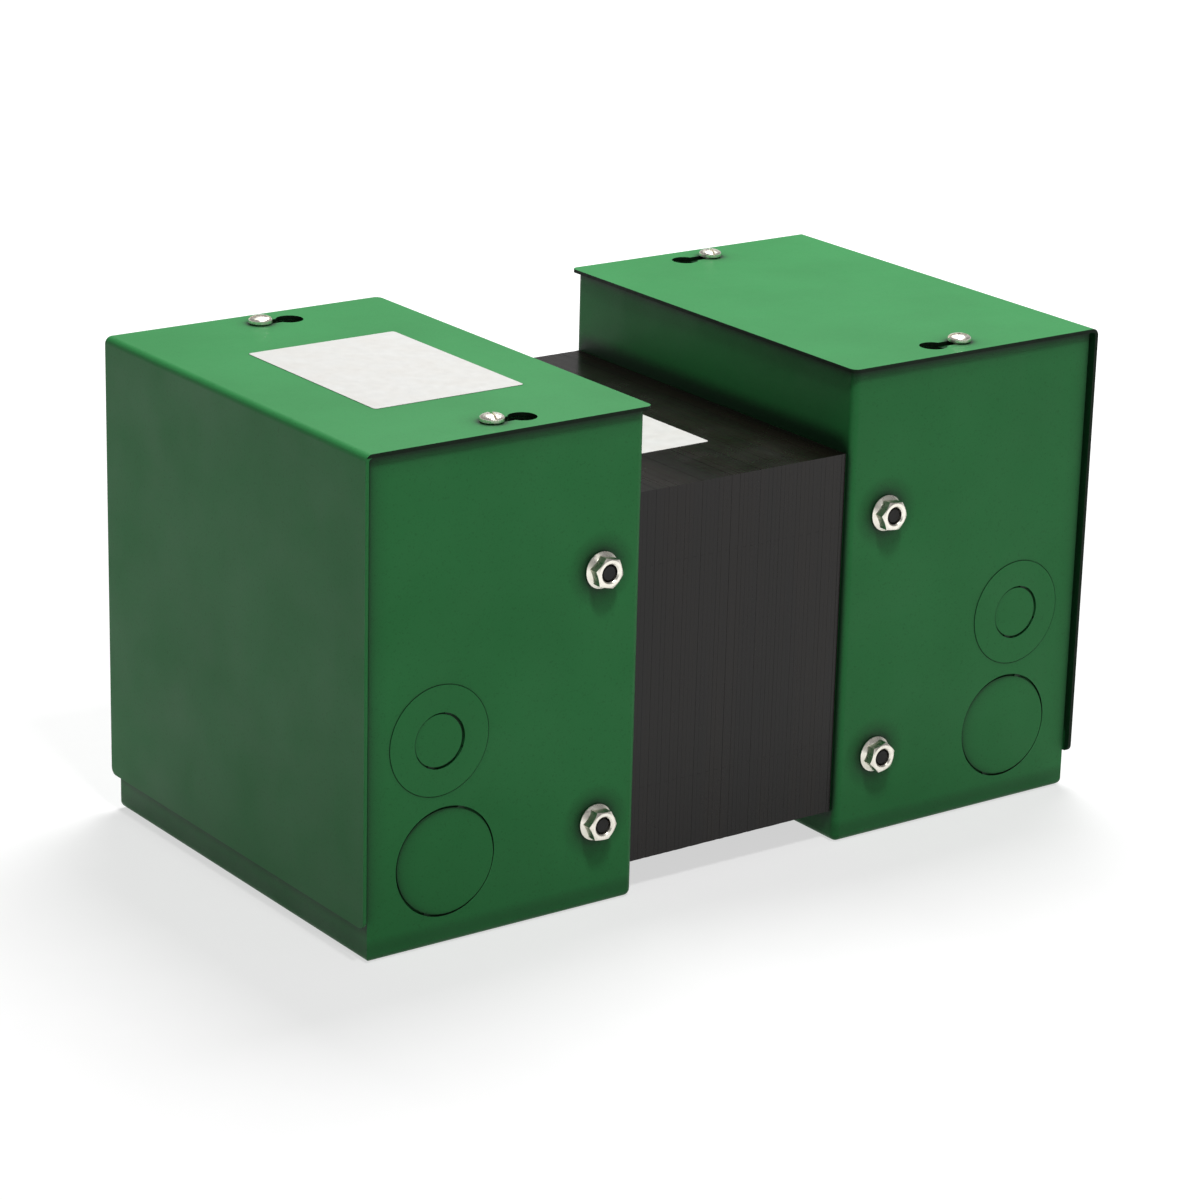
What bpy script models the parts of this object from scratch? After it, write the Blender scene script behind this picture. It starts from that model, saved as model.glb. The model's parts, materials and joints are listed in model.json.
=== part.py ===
"""Dry-type transformer with a wiring compartment at each end.

Metres, +Z up. The origin is on the floor, under the middle of the core. X runs along the
transformer from the left compartment to the right one, and -Y is the front.

The lamination stack is clamped between two flanged end frames by four long bolts, and each tray's
inner wall is caught between the stack and its end frame. The coil sits on a bobbin round the
stack's middle leg, and its ends reach through the trays' inner walls into the compartments, where
a terminal strip stands on the bobbin. Weld studs on the end frames pass through the trays' front
and back walls and carry the nuts outside. Each cover is one bent sheet, held by two screws in
keyhole slots: with the screws loose it slides outward, and then it lifts away.
"""

import math

import bmesh
import bpy
from mathutils import Matrix, Vector

# Gap between pieces that touch
GAP = 0.0003

# Lamination stack: the outline of an E and I lamination follows from its middle leg
TONGUE = 0.060
STACK_LENGTH = 0.100
STACK_WIDTH = 3.0 * TONGUE
STACK_HEIGHT = 2.5 * TONGUE
WINDOW_WIDTH = 0.5 * TONGUE
WINDOW_HEIGHT = 1.5 * TONGUE
BOLT_INSET = 0.25 * TONGUE
STACK_BOTTOM = 0.013
STACK_MIDDLE = STACK_BOTTOM + STACK_HEIGHT / 2

# Sheet metal of the trays and covers
SHEET = 0.0015
BEND = 0.003
BEND_STEPS = 3

# Round pieces: their sides, and the steps of a half circle in an outline
ROD_SIDES = 12
HEAD_SIDES = 14
ARC_STEPS = 8
CHAMFER_SLOPE = math.tan(math.radians(30))
PAN_SIDE_SHARE = 0.45
SHARP_ANGLE = math.radians(35)
WELD = 0.00001

# The screws' slots point every way, as driven: the first one's angle and the step to the next
FIRST_SLOT = math.radians(25)
NEXT_SLOT = math.radians(50)

# Compartment
STACK_RECESS = 0.003
BOX_RISE = 0.035
BOX_LENGTH = 0.125
END_GAP = 0.0015
COVER_OVERHANG = 0.002
COVER_LOW_EDGE = 0.015
LIP_HEIGHT = 0.025
SIDE_FLANGE = 0.020
INNER_FLANGE = 0.010
TRAY_WIDTH = STACK_WIDTH + 2 * STACK_RECESS
BOX_HEIGHT = STACK_BOTTOM + STACK_HEIGHT + BOX_RISE
TRAY_HEIGHT = BOX_HEIGHT - SHEET - GAP
TRAY_LENGTH = BOX_LENGTH - SHEET - END_GAP
INNER_FACE = STACK_LENGTH / 2 + GAP

# Slots in the tray's floor for the bolts that hold the transformer down
MOUNT_SLOT_WIDTH = 0.0075
MOUNT_SLOT_LENGTH = 0.014
MOUNT_SLOT_SPACING = 0.120
MOUNT_SLOT_INSET = 0.060

# Knock-outs: (diameter, distance from the compartment's outer end, height, shift outward).
# The small one is punched in the middle of a large one, so the large ones come first.
SMALL_KNOCKOUT = 0.0222
LARGE_KNOCKOUT = 0.0440
LARGE_KNOCKOUTS = (
    (LARGE_KNOCKOUT, 0.0375, 0.0337, -0.0008),
    (LARGE_KNOCKOUT, 0.0343, 0.0824, 0.0003),
)
SMALL_KNOCKOUTS = (
    (SMALL_KNOCKOUT, 0.0343, 0.0824, 0.0008),
)
KNOCKOUT_SLIT = 0.0006
KNOCKOUT_TIE = 0.003
TIE_INSET = 0.15
KNOCKOUT_TIE_ANGLES = (math.radians(70), math.radians(250))
KNOCKOUT_SIDES = 24

# Cover screws and their keyholes
COVER_SCREW_RADIUS = 0.0024
COVER_SCREW_LENGTH = 0.011
COVER_HEAD_RADIUS = 0.0047
COVER_HEAD_HEIGHT = 0.0030
COVER_SCREW_SLOT = 0.0012
COVER_SCREW_FROM_END = 0.063
COVER_SCREW_FROM_EDGE = 0.011
SCREW_CLEARANCE = 0.0004
HEAD_CLEARANCE = 0.0009
KEYHOLE_TRAVEL = 0.0135
KEYHOLE_RADIUS = COVER_HEAD_RADIUS + HEAD_CLEARANCE

# End frames with their weld studs, and the flange nuts outside the trays
FRAME_SHEET = 0.0025
FRAME_BEND = 0.003
FRAME_REACH = 0.030
COIL_OPENING = 0.0018
STUD_RADIUS = 0.0032
STUD_FROM_INNER_FACE = 0.0188
STUD_ABOVE_STACK_BOTTOM = 0.022
STUD_BELOW_STACK_TOP = 0.0264
STUD_SINK = 0.0008
STUD_CLEARANCE = 0.0004
NUT_FLATS = 0.0111
NUT_HEIGHT = 0.0058
NUT_FLANGE_RADIUS = 0.0075
NUT_FLANGE_HEIGHT = 0.0014
NUT_CONE_RADIUS = 0.54 * NUT_FLATS

# Long bolts through the stack's corners
BOLT_RADIUS = 0.0040
BOLT_CLEARANCE = 0.0004
BOLT_FLATS = 0.0127
BOLT_HEAD_HEIGHT = 0.0055
BOLT_NUT_HEIGHT = 0.0067
BOLT_TAIL = 0.002

# Bobbin and coil
LEG_CLEARANCE = 0.0004
BOBBIN_WALL = 0.0015
BOBBIN_FLANGE = 0.0020
BOBBIN_RIM = 0.0014
WINDOW_CLEARANCE = 0.0015
INSULATION = 0.0010
WINDING_CORNER = 0.003
CORNER_GROWTH = 0.6
WINDING_BUILD = (WINDOW_WIDTH - LEG_CLEARANCE - BOBBIN_WALL - BOBBIN_RIM - WINDOW_CLEARANCE
                 - 2 * INSULATION - 4 * GAP) / 2
BOBBIN_HALF_HEIGHT = WINDOW_HEIGHT / 2 - LEG_CLEARANCE
WINDING_HALF_HEIGHT = BOBBIN_HALF_HEIGHT - BOBBIN_FLANGE - GAP
COIL_LAYERS = (
    ("primary_winding", WINDING_BUILD, "copper"),
    ("winding_insulation", INSULATION, "paper"),
    ("secondary_winding", WINDING_BUILD, "copper"),
    ("coil_wrap", INSULATION, "tape"),
)
TUBE_OUTER = LEG_CLEARANCE + BOBBIN_WALL
COIL_OUTER = TUBE_OUTER + sum(build + GAP for _, build, _ in COIL_LAYERS)
BOBBIN_OUTER = COIL_OUTER + BOBBIN_RIM

# Terminal strips, their screws and the leads that rise to them from the coil
POLES = 4
POLE_PITCH = 0.022
BARRIER = 0.003
STRIP_BASE = 0.007
STRIP_HEIGHT = 0.015
STRIP_GAP = 0.0015
LEAD_RADIUS = 0.00125
LEAD_CLEARANCE = 0.0004
LEAD_BEND = 0.0026
LEAD_OVERSHOOT = 0.0045
LEAD_INSET = 0.0008
TERMINAL_SHANK = 0.0019
TERMINAL_DEPTH = 0.0055
TERMINAL_WASHER_RADIUS = 0.0052
TERMINAL_WASHER_HEIGHT = 0.0010
TERMINAL_HEAD_RADIUS = 0.0038
TERMINAL_HEAD_HEIGHT = 0.0024
TERMINAL_HEAD_BEVEL = 0.0008
TERMINAL_SLOT = 0.0010
FRAME_FACE = SHEET + GAP + FRAME_SHEET
PRIMARY_LEAD = TUBE_OUTER + WINDING_BUILD / 2
SECONDARY_LEAD = COIL_OUTER - GAP - INSULATION - LEAD_INSET - LEAD_RADIUS
STRIP_DEPTH = SECONDARY_LEAD - LEAD_RADIUS - STRIP_GAP - FRAME_FACE - STRIP_GAP / 2

# Ground screw in each end frame
GROUND_SCREW_FROM_WALL = 0.019
GROUND_SCREW_BELOW_MIDDLE = 0.028
GROUND_HEAD_RADIUS = 0.0050
GROUND_HEAD_HEIGHT = 0.0034
GROUND_SCREW_SLOT = 0.0013
GROUND_SHANK_RADIUS = 0.0024
GROUND_SCREW_Y = TRAY_WIDTH / 2 - GROUND_SCREW_FROM_WALL

RIGHT = 1
LEFT = -1
SIDE_NAMES = {LEFT: "left", RIGHT: "right"}
WALLS = {"front": -1, "back": 1}

# Material: (colour, roughness, metallic)
FINISHES = {
    "green_paint": ((0.028, 0.215, 0.068), 0.42, 0.0),
    "varnished_steel": ((0.030, 0.026, 0.024), 0.50, 0.3),
    "dipped_steel": ((0.020, 0.018, 0.017), 0.55, 0.4),
    "zinc": ((0.78, 0.76, 0.70), 0.32, 1.0),
    "copper": ((0.62, 0.26, 0.12), 0.35, 1.0),
    "paper": ((0.62, 0.50, 0.30), 0.80, 0.0),
    "tape": ((0.62, 0.47, 0.16), 0.50, 0.0),
    "phenolic": ((0.025, 0.023, 0.022), 0.45, 0.0),
    "nylon": ((0.55, 0.53, 0.47), 0.50, 0.0),
    "nickel_brass": ((0.72, 0.66, 0.50), 0.30, 1.0),
    "sleeving": ((0.80, 0.74, 0.55), 0.60, 0.0),
    "ground_green": ((0.02, 0.33, 0.10), 0.40, 0.2),
}


# ---------------------------------------------------------------- scene, materials and objects

def clear_scene():
    """Remove what the file opened with."""
    for thing in list(bpy.data.objects):
        bpy.data.objects.remove(thing, do_unlink=True)


def new_collection(name):
    """A collection linked to the scene."""
    collection = bpy.data.collections.new(name)
    bpy.context.scene.collection.children.link(collection)
    return collection


def make_material(name):
    """A Principled material from the finishes table."""
    colour, roughness, metallic = FINISHES[name]
    material = bpy.data.materials.new(name)
    material.use_nodes = True
    shader = material.node_tree.nodes["Principled BSDF"]
    shader.inputs["Base Color"].default_value = (*colour, 1.0)
    shader.inputs["Roughness"].default_value = roughness
    shader.inputs["Metallic"].default_value = metallic
    material.diffuse_color = (*colour, 1.0)
    return material


def new_empty(name, location):
    """An empty that carries a group of pieces."""
    empty = bpy.data.objects.new(name, None)
    empty.empty_display_size = 0.02
    empty.location = location
    parts.objects.link(empty)
    return empty


def new_piece(name, data, finish, parent=None, location=(0, 0, 0), rotation=(0, 0, 0)):
    """One named sub-part with its material."""
    if finish not in materials:
        materials[finish] = make_material(finish)
    if not data.materials:
        data.materials.append(materials[finish])
    piece = bpy.data.objects.new(name, data)
    piece.parent = parent
    piece.location = location
    piece.rotation_euler = rotation
    parts.objects.link(piece)
    return piece


def smooth_round_faces(mesh):
    """Smooth shading on the curved faces, with the real edges kept sharp."""
    mesh.shade_smooth()
    mesh.set_sharp_from_angle(angle=SHARP_ANGLE)


def finish_mesh(bm, name, side=RIGHT):
    """A mesh from a bmesh drawn for the right-hand side, mirrored for the left-hand one."""
    if side == LEFT:
        bmesh.ops.transform(bm, matrix=Matrix.Scale(-1, 4, (1, 0, 0)), verts=bm.verts)
        bmesh.ops.reverse_faces(bm, faces=bm.faces)
    mesh = bpy.data.meshes.new(name)
    bm.to_mesh(mesh)
    bm.free()
    smooth_round_faces(mesh)
    return mesh


def combine(piece, bm, operation, side=RIGHT):
    """Cut a tool from a piece, or join it on, with a Boolean modifier."""
    label = f"{piece.name}_{operation.lower()}_{len(piece.modifiers) + 1}"
    tool = bpy.data.objects.new(label, finish_mesh(bm, label, side))
    tool.parent = piece.parent
    tool.location = piece.location
    tool.rotation_euler = piece.rotation_euler
    tool.hide_render = True
    tool.display_type = "WIRE"
    cutters.objects.link(tool)
    modifier = piece.modifiers.new(label, "BOOLEAN")
    modifier.operation = operation
    modifier.object = tool


def baked_mesh(piece):
    """The finished mesh of a piece with modifiers, to be shared by its copies."""
    bpy.context.view_layer.update()
    depsgraph = bpy.context.evaluated_depsgraph_get()
    mesh = bpy.data.meshes.new_from_object(piece.evaluated_get(depsgraph))
    mesh.name = piece.name
    for modifier in piece.modifiers:
        if modifier.type == "BOOLEAN":
            bpy.data.objects.remove(modifier.object, do_unlink=True)
    bpy.data.objects.remove(piece, do_unlink=True)
    smooth_round_faces(mesh)
    return mesh


# ---------------------------------------------------------------- shapes

def add_block(bm, low, high, bends=(), radius=0.0):
    """A block between two corners, rounded where the named pairs of faces meet."""
    low, high = Vector(low), Vector(high)
    scale = Matrix.Diagonal((*(high - low), 1.0))
    placed = Matrix.Translation((low + high) / 2) @ scale
    made = bmesh.ops.create_cube(bm, size=1.0, matrix=placed)["verts"]
    if not bends:
        return
    wanted = [frozenset(pair) for pair in bends]
    edges = {edge for vert in made for edge in vert.link_edges}
    rounded = [edge for edge in edges if frozenset(map(face_side, edge.link_faces)) in wanted]
    bmesh.ops.bevel(bm, geom=rounded, offset=radius, segments=BEND_STEPS, profile=0.5,
                    affect="EDGES", clamp_overlap=True)


def face_side(face):
    """Which side of its block a face is on, such as +x or -z."""
    face.normal_update()
    axis = max(range(3), key=lambda i: abs(face.normal[i]))
    return ("+" if face.normal[axis] > 0 else "-") + "xyz"[axis]


def add_rod(bm, start, end, radius, sides=ROD_SIDES, end_radius=None):
    """A cylinder, or a cone, from one point to another."""
    start, end = Vector(start), Vector(end)
    along = end - start
    turn = Vector((0, 0, 1)).rotation_difference(along).to_matrix().to_4x4()
    bmesh.ops.create_cone(bm, cap_ends=True, segments=sides, radius1=radius,
                          radius2=radius if end_radius is None else end_radius,
                          depth=along.length,
                          matrix=Matrix.Translation((start + end) / 2) @ turn)


def outline_bmesh(points, bottom, top):
    """A plate from a closed outline in XY: a filled, extruded 2D curve made into a mesh."""
    curve = bpy.data.curves.new("outline", "CURVE")
    curve.dimensions = "2D"
    curve.fill_mode = "BOTH"
    curve.extrude = (top - bottom) / 2
    spline = curve.splines.new("POLY")
    spline.points.add(len(points) - 1)
    for point, (x, y) in zip(spline.points, points):
        point.co = (x, y, 0, 1)
    spline.use_cyclic_u = True
    drawn = bpy.data.objects.new("outline", curve)
    cutters.objects.link(drawn)
    bpy.context.view_layer.update()
    depsgraph = bpy.context.evaluated_depsgraph_get()
    mesh = bpy.data.meshes.new_from_object(drawn.evaluated_get(depsgraph))
    bpy.data.objects.remove(drawn, do_unlink=True)
    bm = bmesh.new()
    bm.from_mesh(mesh)
    bmesh.ops.remove_doubles(bm, verts=bm.verts, dist=WELD)
    bmesh.ops.translate(bm, verts=bm.verts, vec=(0, 0, (bottom + top) / 2))
    bmesh.ops.recalc_face_normals(bm, faces=bm.faces)
    return bm


def merge(bm, other):
    """Add one bmesh to another."""
    mesh = bpy.data.meshes.new("merged")
    other.to_mesh(mesh)
    other.free()
    bm.from_mesh(mesh)
    bpy.data.meshes.remove(mesh)


def arc(centre, radius, start, stop, steps):
    """Points along an arc in a plane, both ends included. Angles in degrees."""
    angles = [math.radians(start + (stop - start) * i / steps) for i in range(steps + 1)]
    return [(centre[0] + radius * math.cos(a), centre[1] + radius * math.sin(a)) for a in angles]


def turned_piece(name, profile, finish, sides):
    """A turned shape: a profile from the top of its axis to the bottom, with a Screw modifier."""
    mesh = bpy.data.meshes.new(name)
    edges = [(i, i + 1) for i in range(len(profile) - 1)]
    mesh.from_pydata([(r, 0, z) for r, z in profile], edges, [])
    piece = new_piece(name, mesh, finish)
    screw = piece.modifiers.new("turn", "SCREW")
    screw.axis = "Z"
    screw.angle = math.tau
    screw.steps = sides
    screw.render_steps = sides
    screw.use_merge_vertices = True
    screw.merge_threshold = WELD
    return piece


def hex_piece(name, finish, flats, height):
    """A hexagon standing on Z = 0 whose far corners are chamfered, as on a nut or a bolt head."""
    bm = bmesh.new()
    add_rod(bm, (0, 0, 0), (0, 0, height), flats / math.sqrt(3), sides=6)
    piece = new_piece(name, finish_mesh(bm, name), finish)
    corner = flats / math.sqrt(3)
    bm = bmesh.new()
    add_rod(bm, (0, 0, -height), (0, 0, height + GAP), flats / 2 + 2 * height / CHAMFER_SLOPE,
            HEAD_SIDES, flats / 2 - GAP / CHAMFER_SLOPE)
    combine(piece, bm, "INTERSECT")
    return piece


# ---------------------------------------------------------------- core

def make_stack():
    """The stack of laminations: two coil windows and four bolt holes run through it."""
    bm = bmesh.new()
    half = Vector((STACK_LENGTH, STACK_WIDTH, STACK_HEIGHT)) / 2
    add_block(bm, -half, half)
    stack = new_piece("core_stack", finish_mesh(bm, "core_stack"), "varnished_steel", core)
    bm = bmesh.new()
    for wall in WALLS.values():
        near, far = sorted((wall * TONGUE / 2, wall * (TONGUE / 2 + WINDOW_WIDTH)))
        add_block(bm, (-STACK_LENGTH, near, -WINDOW_HEIGHT / 2),
                  (STACK_LENGTH, far, WINDOW_HEIGHT / 2))
    for y, z in bolt_places():
        add_rod(bm, (-STACK_LENGTH, y, z), (STACK_LENGTH, y, z), BOLT_RADIUS + BOLT_CLEARANCE)
    combine(stack, bm, "DIFFERENCE")


def bolt_places():
    """Where the long bolts run, about the stack's middle."""
    y = STACK_WIDTH / 2 - BOLT_INSET
    z = STACK_HEIGHT / 2 - BOLT_INSET
    return [(-y, -z), (y, -z), (-y, z), (y, z)]


def add_ring_block(bm, beyond, half_height):
    """A block round the middle leg, standing out from it by one distance on every side."""
    half = Vector((STACK_LENGTH / 2 + beyond, TONGUE / 2 + beyond, half_height))
    corners = [("+x", "+y"), ("+x", "-y"), ("-x", "+y"), ("-x", "-y")]
    add_block(bm, -half, half, corners, WINDING_CORNER + max(0.0, beyond - TUBE_OUTER) * CORNER_GROWTH)


def make_bobbin():
    """The bobbin: a square tube on the middle leg with a flange at each end."""
    bm = bmesh.new()
    add_ring_block(bm, TUBE_OUTER, BOBBIN_HALF_HEIGHT)
    bobbin = new_piece("bobbin", finish_mesh(bm, "bobbin"), "nylon", core)
    bm = bmesh.new()
    size = Vector((STACK_LENGTH / 2 + BOBBIN_OUTER, TONGUE / 2 + BOBBIN_OUTER, 0))
    corners = [("+x", "+y"), ("+x", "-y"), ("-x", "+y"), ("-x", "-y")]
    inner = BOBBIN_HALF_HEIGHT - BOBBIN_FLANGE
    for low, high in ((-BOBBIN_HALF_HEIGHT, -inner), (inner, BOBBIN_HALF_HEIGHT)):
        add_block(bm, (-size.x, -size.y, low), (size.x, size.y, high), corners, WINDING_CORNER)
    combine(bobbin, bm, "UNION")
    bm = bmesh.new()
    add_block(bm, (-STACK_LENGTH / 2 - LEG_CLEARANCE, -TONGUE / 2 - LEG_CLEARANCE, -WINDOW_HEIGHT),
              (STACK_LENGTH / 2 + LEG_CLEARANCE, TONGUE / 2 + LEG_CLEARANCE, WINDOW_HEIGHT))
    for side, inset in ((LEFT, PRIMARY_LEAD), (RIGHT, SECONDARY_LEAD)):
        for pole in range(POLES):
            x = side * (INNER_FACE + inset)
            y = lead_y(pole)
            add_rod(bm, (x, y, inner - BOBBIN_FLANGE), (x, y, WINDOW_HEIGHT),
                    LEAD_RADIUS + LEAD_CLEARANCE)
    combine(bobbin, bm, "DIFFERENCE")


def make_coil():
    """The windings and their insulation, each a ring round the one before."""
    beyond = TUBE_OUTER
    for name, build, finish in COIL_LAYERS:
        beyond += GAP
        bm = bmesh.new()
        add_ring_block(bm, beyond + build, WINDING_HALF_HEIGHT)
        layer = new_piece(name, finish_mesh(bm, name), finish, core)
        bm = bmesh.new()
        add_ring_block(bm, beyond, WINDING_HALF_HEIGHT * 2)
        combine(layer, bm, "DIFFERENCE")
        beyond += build


def make_core_bolts():
    """Four long bolts with their heads on the left end frame and their nuts on the right one."""
    grip = INNER_FACE + FRAME_FACE + GAP
    length = 2 * grip + BOLT_NUT_HEIGHT + BOLT_TAIL
    head = hex_piece("core_bolt", "zinc", BOLT_FLATS, BOLT_HEAD_HEIGHT)
    bm = bmesh.new()
    add_rod(bm, (0, 0, -length), (0, 0, BOLT_HEAD_HEIGHT / 2), BOLT_RADIUS)
    combine(head, bm, "UNION")
    bolt = baked_mesh(head)
    blank = hex_piece("core_nut", "zinc", BOLT_FLATS, BOLT_NUT_HEIGHT)
    bm = bmesh.new()
    add_rod(bm, (0, 0, -BOLT_NUT_HEIGHT), (0, 0, 2 * BOLT_NUT_HEIGHT), BOLT_RADIUS + GAP)
    combine(blank, bm, "DIFFERENCE")
    nut = baked_mesh(blank)
    quarter = math.pi / 2
    for number, (y, z) in enumerate(bolt_places(), start=1):
        new_piece(f"core_bolt_{number}", bolt, "zinc", core, (-grip, y, z), (0, -quarter, 0))
        new_piece(f"core_nut_{number}", nut, "zinc", core, (grip, y, z), (0, quarter, 0))


# ---------------------------------------------------------------- compartments

def stud_places():
    """Heights of the two rows of studs above the floor."""
    stack_top = STACK_BOTTOM + STACK_HEIGHT
    return {"lower": STACK_BOTTOM + STUD_ABOVE_STACK_BOTTOM,
            "upper": stack_top - STUD_BELOW_STACK_TOP}


def coil_opening(bm, low_x, high_x):
    """Block that opens a wall for the coil's end."""
    y = TONGUE / 2 + BOBBIN_OUTER + COIL_OPENING
    z = BOBBIN_HALF_HEIGHT + COIL_OPENING
    add_block(bm, (low_x, -y, STACK_MIDDLE - z), (high_x, y, STACK_MIDDLE + z))


def bolt_holes(bm, low_x, high_x):
    """Rods that open a wall for the long bolts."""
    for y, z in bolt_places():
        add_rod(bm, (low_x, y, STACK_MIDDLE + z), (high_x, y, STACK_MIDDLE + z),
                BOLT_RADIUS + BOLT_CLEARANCE)


def make_tray(side, parent):
    """The tray: floor, inner wall, front and back walls, screw flanges and a lip, bent up."""
    name = f"{SIDE_NAMES[side]}_tray"
    half = TRAY_WIDTH / 2
    folds = [("-z", "-x"), ("-z", "+x"), ("-z", "-y"), ("-z", "+y"), ("-x", "-y"), ("-x", "+y")]
    bm = bmesh.new()
    add_block(bm, (0, -half, 0), (TRAY_LENGTH, half, TRAY_HEIGHT), folds, BEND)
    tray = new_piece(name, finish_mesh(bm, name, side), "green_paint", parent)

    inside = half - SHEET
    under_flange = TRAY_HEIGHT - SHEET
    bm = bmesh.new()
    add_block(bm, (SHEET, -inside, SHEET), (TRAY_LENGTH - SHEET, inside, under_flange),
              folds, BEND - SHEET)
    combine(tray, bm, "DIFFERENCE", side)

    bm = bmesh.new()
    add_block(bm, (TRAY_LENGTH - 3 * SHEET, -inside, LIP_HEIGHT),
              (TRAY_LENGTH + SHEET, inside, under_flange))
    combine(tray, bm, "DIFFERENCE", side)

    bm = bmesh.new()
    mouth = half - SIDE_FLANGE
    add_block(bm, (INNER_FLANGE, -mouth, TRAY_HEIGHT - 2 * SHEET),
              (TRAY_LENGTH + SHEET, mouth, TRAY_HEIGHT + SHEET), [("-x", "-y"), ("-x", "+y")], BEND)
    combine(tray, bm, "DIFFERENCE", side)

    bm = bmesh.new()
    tray_holes(bm)
    combine(tray, bm, "DIFFERENCE", side)
    for punched in (LARGE_KNOCKOUTS, SMALL_KNOCKOUTS):
        for add_tool, operation in ((knockout_holes, "DIFFERENCE"), (knockout_discs, "UNION"),
                                    (knockout_ties, "UNION")):
            bm = bmesh.new()
            add_tool(bm, punched)
            combine(tray, bm, operation, side)


def tray_holes(bm):
    """Every hole in a tray apart from its knock-outs, drawn for the right-hand side."""
    coil_opening(bm, -SHEET, 2 * SHEET)
    bolt_holes(bm, -SHEET, 2 * SHEET)
    half = TRAY_WIDTH / 2
    for wall in WALLS.values():
        outside = wall * (half + SHEET)
        inside = wall * (half - 2 * SHEET)
        for height in stud_places().values():
            add_rod(bm, (STUD_FROM_INNER_FACE, outside, height),
                    (STUD_FROM_INNER_FACE, inside, height), STUD_RADIUS + STUD_CLEARANCE)
        add_rod(bm, (cover_screw_x(), wall * cover_screw_y(), TRAY_HEIGHT - 2 * SHEET),
                (cover_screw_x(), wall * cover_screw_y(), TRAY_HEIGHT + SHEET),
                COVER_SCREW_RADIUS + SCREW_CLEARANCE)
        add_rod(bm, (keyhole_x(), wall * cover_screw_y(), TRAY_HEIGHT - 2 * SHEET),
                (keyhole_x(), wall * cover_screw_y(), TRAY_HEIGHT + SHEET),
                KEYHOLE_RADIUS, KNOCKOUT_SIDES)
        merge(bm, mount_slot(wall * MOUNT_SLOT_SPACING / 2))


def mount_slot(y):
    """A round-ended slot through the tray's floor, along X."""
    radius = MOUNT_SLOT_WIDTH / 2
    reach = MOUNT_SLOT_LENGTH / 2 - radius
    outline = arc((MOUNT_SLOT_INSET + reach, y), radius, -90, 90, ARC_STEPS)
    outline += arc((MOUNT_SLOT_INSET - reach, y), radius, 90, 270, ARC_STEPS)
    return outline_bmesh(outline, -SHEET, 2 * SHEET)


def knockout_holes(bm, punched):
    """Rods that open the walls for the knock-outs."""
    for wall in WALLS.values():
        for diameter, from_end, height, _ in punched:
            x = BOX_LENGTH - from_end
            add_rod(bm, (x, wall * (TRAY_WIDTH / 2 + SHEET), height),
                    (x, wall * (TRAY_WIDTH / 2 - 2 * SHEET), height), diameter / 2, KNOCKOUT_SIDES)


def knockout_discs(bm, punched):
    """The knock-outs' discs, each pushed part of the sheet's thickness out of its wall."""
    for wall in WALLS.values():
        for diameter, from_end, height, shift in punched:
            x = BOX_LENGTH - from_end
            outer = TRAY_WIDTH / 2 + shift
            add_rod(bm, (x, wall * outer, height), (x, wall * (outer - SHEET), height),
                    diameter / 2 - KNOCKOUT_SLIT, KNOCKOUT_SIDES)


def knockout_ties(bm, punched):
    """The two ties that hold each disc to its wall, in the layer that both have in common."""
    for wall in WALLS.values():
        for diameter, from_end, height, shift in punched:
            common = sorted((TRAY_WIDTH / 2 + min(0.0, shift),
                             TRAY_WIDTH / 2 - SHEET + max(0.0, shift)))
            inset = (common[1] - common[0]) * TIE_INSET
            low, high = sorted(wall * y for y in (common[0] + inset, common[1] - inset))
            for angle in KNOCKOUT_TIE_ANGLES:
                tie = bmesh.new()
                middle = diameter / 2 - KNOCKOUT_SLIT / 2
                reach = KNOCKOUT_SLIT * 1.5
                add_block(tie, (middle - reach, low, -KNOCKOUT_TIE / 2),
                          (middle + reach, high, KNOCKOUT_TIE / 2))
                bmesh.ops.rotate(tie, verts=tie.verts, cent=(0, 0, 0),
                                 matrix=Matrix.Rotation(-angle, 3, "Y"))
                bmesh.ops.translate(tie, verts=tie.verts, vec=(BOX_LENGTH - from_end, 0, height))
                merge(bm, tie)


def cover_screw_x():
    """The cover screws' distance from the tray's inner face."""
    return BOX_LENGTH - COVER_SCREW_FROM_END


def keyhole_x():
    """The distance of a keyhole's round end, and of the relief hole under it, likewise."""
    return cover_screw_x() - KEYHOLE_TRAVEL


def cover_screw_y():
    """The cover screws' distance from the middle plane."""
    return TRAY_WIDTH / 2 - COVER_SCREW_FROM_EDGE


def make_cover(side, parent):
    """The cover: a top plate and an outer end flange, bent from one sheet."""
    name = f"{SIDE_NAMES[side]}_cover"
    half = TRAY_WIDTH / 2 + COVER_OVERHANG
    bm = bmesh.new()
    add_block(bm, (-COVER_OVERHANG, -half, COVER_LOW_EDGE), (BOX_LENGTH, half, BOX_HEIGHT),
              [("+x", "+z"), ("-z", "-y"), ("-z", "+y"), ("-x", "-y"), ("-x", "+y")], BEND)
    cover = new_piece(name, finish_mesh(bm, name, side), "green_paint", parent)
    bm = bmesh.new()
    add_block(bm, (-BOX_LENGTH, -2 * half, -BOX_HEIGHT), (BOX_LENGTH - SHEET, 2 * half,
              BOX_HEIGHT - SHEET), [("+x", "+z")], BEND - SHEET)
    combine(cover, bm, "DIFFERENCE", side)
    bm = bmesh.new()
    for wall in WALLS.values():
        merge(bm, keyhole(wall * cover_screw_y()))
    combine(cover, bm, "DIFFERENCE", side)


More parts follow.
